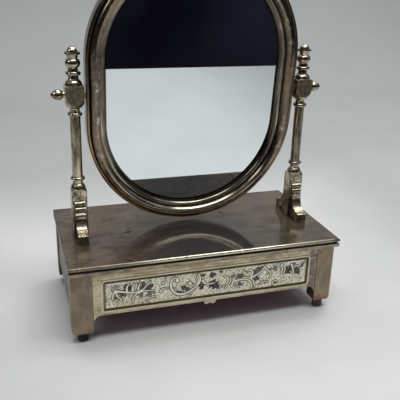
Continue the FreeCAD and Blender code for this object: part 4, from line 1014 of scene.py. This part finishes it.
def back_screw_heads(finish, soft):
    """Slotted heads of the six screws in the back plate, where the frame's own screws stand."""
    axis = mirror_lie().back
    seat = max(axis.dot(point) for point in corners(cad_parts["back_plate"]))

    def beside(point, other):
        """Distance between two points, seen along the axis."""
        apart = point - other
        return (apart - axis * axis.dot(apart)).length

    groups = []
    for point in corners(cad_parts["back_screws"]):
        near = [group for group in groups if beside(group[0], point) < 6 * MM]
        if near:
            near[0].append(point)
        else:
            groups.append([point])
    vertices, faces = [], []
    for number, group in enumerate(groups):
        centre = sum(group, Vector()) / len(group)
        radius = max(beside(point, centre) for point in group)
        middle = centre + axis * (seat - axis.dot(centre))
        rise = max(axis.dot(point) for point in group) - seat
        slotted_head(middle, axis, number * 1.3, radius, rise, soft, vertices, faces)
    steel = machined("back_screw_steel", finish.dull_steel, 0.28)
    heads = new_piece("back_screw_heads", vertices, faces, steel, "mirror", smooth=False)
    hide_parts("back_screws")


# ---------------------------------------------------------------- stage

# Lamps: place and aim in metres, size in metres, and the setting that holds the power.
LAMPS = {
    "overhead_front": ((0.12, -0.55, 1.6), (0.02, 0.0, 0.0), (1.5, 0.35), "overhead"),
    "overhead_rear": ((0.12, 0.25, 1.6), (0.02, 0.0, 0.0), (1.5, 0.35), "overhead"),
    "side": ((1.5, -0.5, 1.1), (0.0, 0.0, 0.1), (0.9, 0.9), "side"),
    "left": ((-1.2, -0.3, 1.0), (0.0, 0.0, 0.2), (0.4, 0.4), "left"),
    "wash": ((0.85, 0.55, 1.35), (0.75, 1.15, 0.45), (1.0, 0.4), "wash"),
}


def paper(settings):
    """Paper with smudges and a few specks, pale under the object and greyed behind and beside it as painted
    shade.
    """
    smudge, speck = (0.3, 0.3, 0.3), (0.25, 0.22, 0.2)
    tree = Tree("paper")
    x, y, _ = tree.axes()
    # Grey laid behind and beside the object: painted shade of the lamps' falloff.
    painted_falloff = tree.most(
        tree.ramp(y, settings.pale_until, settings.grey_from),
        tree.ramp(x, -0.08, -0.38),
        tree.ramp(x, 0.12, 0.40, 0.0, 0.90),
    )
    tree.lay(settings.paper)
    tree.lay(settings.backdrop, painted_falloff)
    tree.lay(smudge, tree.ramp(tree.noise(9.0, 4.0), 0.35, 0.7, 0.0, 0.08))
    tree.lay(speck, tree.dots(42.0, 0.022), 0.7)
    normal = tree.bump(tree.noise(3.0, 3.0), 6 * MM, 0.25)
    return tree.finish(0.85, normal, Specular_IOR_Level=0.2)


def paper_sweep(settings):
    """Floor and backdrop in one bent sheet of paper."""
    profile = [(settings.floor_front, 0.0), (settings.floor_back, 0.0)]
    for step in range(1, 17):
        turn = step / 16 * RIGHT_ANGLE
        y = settings.floor_back + settings.bend * math.sin(turn)
        profile.append((y, settings.bend * (1 - math.cos(turn))))
    profile.append((settings.floor_back + settings.bend, settings.height))
    wide = settings.half_width
    vertices = [(x, y, z) for y, z in profile for x in (-wide, wide)]
    faces = [(2 * i, 2 * i + 1, 2 * i + 3, 2 * i + 2) for i in range(len(profile) - 1)]
    new_object("paper_sweep", vertices, faces, paper(settings))


def lights(settings):
    """Two long lamps overhead, one on the backdrop and weak ones at both sides."""
    for name, (place, aim, size, power_setting) in LAMPS.items():
        data = bpy.data.lights.new(name, "AREA")
        data.shape = "RECTANGLE"
        data.size, data.size_y = size
        data.energy = getattr(settings, power_setting)
        lamp = bpy.data.objects.new(name, data)
        lamp.location = place
        lamp.rotation_mode = "QUATERNION"
        lamp.rotation_quaternion = (Vector(aim) - Vector(place)).to_track_quat("-Z", "Y")
        bpy.context.scene.collection.objects.link(lamp)


def dark_room(settings):
    """World: a dark room with a faint gleam here and there under a dim ceiling."""
    tree = Tree("room", "worlds", "Background", "Generated")
    gleam = tree.ramp(tree.noise(2.6, 3.0, roughness=0.5), 0.40, 0.70, kind="LINEAR")
    tree.lay(tinted(settings.room, 0.7))
    tree.lay(tinted(settings.room, 3.4), gleam)
    tree.lay(settings.ceiling, tree.ramp(tree.axes()[2], 0.1, 0.8, kind="LINEAR"))
    tree.give(tree.shader.inputs["Color"], tree.surface)
    bpy.context.scene.world = tree.owner


def camera(settings):
    """Camera at its place, turned, dipped and leaning as the settings say."""
    dip, turn, lean = settings.elevation, settings.azimuth, settings.roll
    back = Vector((math.sin(turn) * math.cos(dip), -math.cos(turn) * math.cos(dip), math.sin(dip)))
    right = (-back).cross(Vector((0, 0, 1))).normalized()
    up = right.cross(-back)
    across = right * math.cos(lean) + up * math.sin(lean)
    upward = up * math.cos(lean) - right * math.sin(lean)
    data = bpy.data.cameras.new("camera")
    data.lens = settings.lens
    data.sensor_width = 36.0
    eye = bpy.data.objects.new("camera", data)
    turned = Matrix((across, upward, back)).transposed().to_4x4()
    eye.matrix_world = Matrix.Translation(settings.place) @ turned
    scene = bpy.context.scene
    scene.collection.objects.link(eye)
    scene.camera = eye
    scene.view_settings.view_transform = "Standard"


# ---------------------------------------------------------------- operators


class VANITY_OT_base(bpy.types.Operator):
    """Finish the top, legs, panels, feet and the boards inside the case"""

    bl_idname = "vanity.base"
    bl_label = "Base"

    def execute(self, context):
        finish = context.scene.vanity_finish
        dress(top_plate(finish), "base_top")
        dress(leg_metal("leg_metal", finish), *matching("leg_", "side_panel", "back_panel"))
        dress(leg_metal("worn_leg_metal", finish, worn_foot_and_spandrel_shade=True), "leg_front_right")
        # The left side panel and rear left leg take a darker copy of the leg finish: painted shade.
        dress(leg_metal("shaded_leg_metal", finish, painted_shade_factor=0.4), "side_panel_left", "leg_rear_left")
        dress(rubber("rubber_feet", finish.rubber, 0.0), *matching("foot_"))
        dress(rubber("dusty_rubber", finish.dusty, 0.14), "foot_front_right")
        dress(boards("boards_across", finish.wood, 0), "bottom_board")
        dress(boards("boards_along", finish.wood, 1), *matching("guide_"))
        dress(machined("steel_screws", finish.steel, 0.25), "post_screws")
        felt_sheet(finish, context.scene.vanity_soft)
        return {"FINISHED"}


class VANITY_OT_drawer(bpy.types.Operator):
    """Finish the drawer's front, pull and boards, and line it with velvet"""

    bl_idname = "vanity.drawer"
    bl_label = "Drawer"

    def execute(self, context):
        finish = context.scene.vanity_finish
        dress(drawer_metal(finish), "drawer_front", "drawer_pull")
        across = boards("drawer_boards_across", finish.wood, 0)
        dress(across, "drawer_front_board", "drawer_back", "drawer_bottom")
        dress(boards("drawer_boards_along", finish.wood, 1), "drawer_side_left", "drawer_side_right")
        velvet_tray(finish, context.scene.vanity_soft)
        return {"FINISHED"}


class VANITY_OT_engraving(bpy.types.Operator):
    """Model the engraved plate of the drawer front"""

    bl_idname = "vanity.engraving"
    bl_label = "Engraved plate"

    def execute(self, context):
        engraved_plate(context.scene.vanity_finish, context.scene.vanity_ornament)
        return {"FINISHED"}


class VANITY_OT_posts(bpy.types.Operator):
    """Finish the brackets, columns, pivot blocks, finials and pivot screws"""

    bl_idname = "vanity.posts"
    bl_label = "Posts"

    def execute(self, context):
        finish = context.scene.vanity_finish
        cast = plated("cast_plate", finish, bright=0.62, rough=(0.18, 0.34), patch=90.0, upright=0.7)
        drawn = plated("drawn_plate", finish, bright=0.74, rough=(0.15, 0.30), patch=60.0, upright=0.22)
        turned = plated("turned_plate", finish, bright=0.78, rough=(0.12, 0.26), patch=110.0, upright=1.4)
        block = plated(
            "block_plate", finish, bright=0.62, rough=(0.16, 0.30), patch=80.0, upright=0.6, rubbed=1.5,
            brown_front=0.95,
        )
        dress(cast, *matching("bracket_"))
        dress(drawn, *matching("column_"))
        dress(turned, *matching("finial_", "pivot_screw_"))
        dress(block, *matching("pivot_block_"))
        return {"FINISHED"}


class VANITY_OT_mirror(bpy.types.Operator):
    """Finish the mirror's frame, glass, backing, back plate, bushes and screws"""

    bl_idname = "vanity.mirror"
    bl_label = "Mirror"

    def execute(self, context):
        finish = context.scene.vanity_finish
        dress(moulding(finish), "mirror_frame")
        dress(leg_metal("back_plate_metal", finish), "back_plate")
        dress(mirror_glass(finish), "mirror_glass")
        dress(boards("backing_board", finish.wood, 2), "glass_backing")
        dress(machined("brass_bushes", finish.brass, 0.32), *matching("pivot_bush_"))
        back_screw_heads(finish, context.scene.vanity_soft)
        return {"FINISHED"}


class VANITY_OT_stage(bpy.types.Operator):
    """Set up the paper sweep, the lamps, the dark room and the camera"""

    bl_idname = "vanity.stage"
    bl_label = "Stage"

    def execute(self, context):
        for part in (paper_sweep, lights, dark_room, camera):
            part(context.scene.vanity_stage)
        return {"FINISHED"}


# ---------------------------------------------------------------- add-on


class VANITY_PT_panel(bpy.types.Panel):
    """Sidebar panel that lists the pieces and their settings"""

    bl_idname = "VANITY_PT_panel"
    bl_label = "Vanity Mirror"
    bl_space_type = "VIEW_3D"
    bl_region_type = "UI"
    bl_category = "Vanity Mirror"

    def draw(self, context):
        layout = self.layout
        for operator in OPERATORS:
            layout.operator(operator.bl_idname)
        for setting in GROUPS:
            group = getattr(context.scene, setting)
            box = layout.box()
            for name in group.bl_rna.properties.keys():
                if name not in ("rna_type", "name"):
                    box.prop(group, name)


OPERATORS = (
    VANITY_OT_base,
    VANITY_OT_drawer,
    VANITY_OT_engraving,
    VANITY_OT_posts,
    VANITY_OT_mirror,
    VANITY_OT_stage,
)
GROUPS = {
    "vanity_finish": VanityFinish,
    "vanity_ornament": VanityOrnament,
    "vanity_soft": VanitySoft,
    "vanity_stage": VanityStage,
}


def register():
    for made in (*GROUPS.values(), *OPERATORS, VANITY_PT_panel):
        bpy.utils.register_class(made)
    for name, group in GROUPS.items():
        setattr(bpy.types.Scene, name, PointerProperty(type=group))


def unregister():
    for name in GROUPS:
        delattr(bpy.types.Scene, name)
    for made in (VANITY_PT_panel, *reversed(OPERATORS), *GROUPS.values()):
        bpy.utils.unregister_class(made)


def main():
    register()
    for operator in OPERATORS:
        group, name = operator.bl_idname.split(".")
        getattr(getattr(bpy.ops, group), name)()


if __name__ == "__main__":
    main()
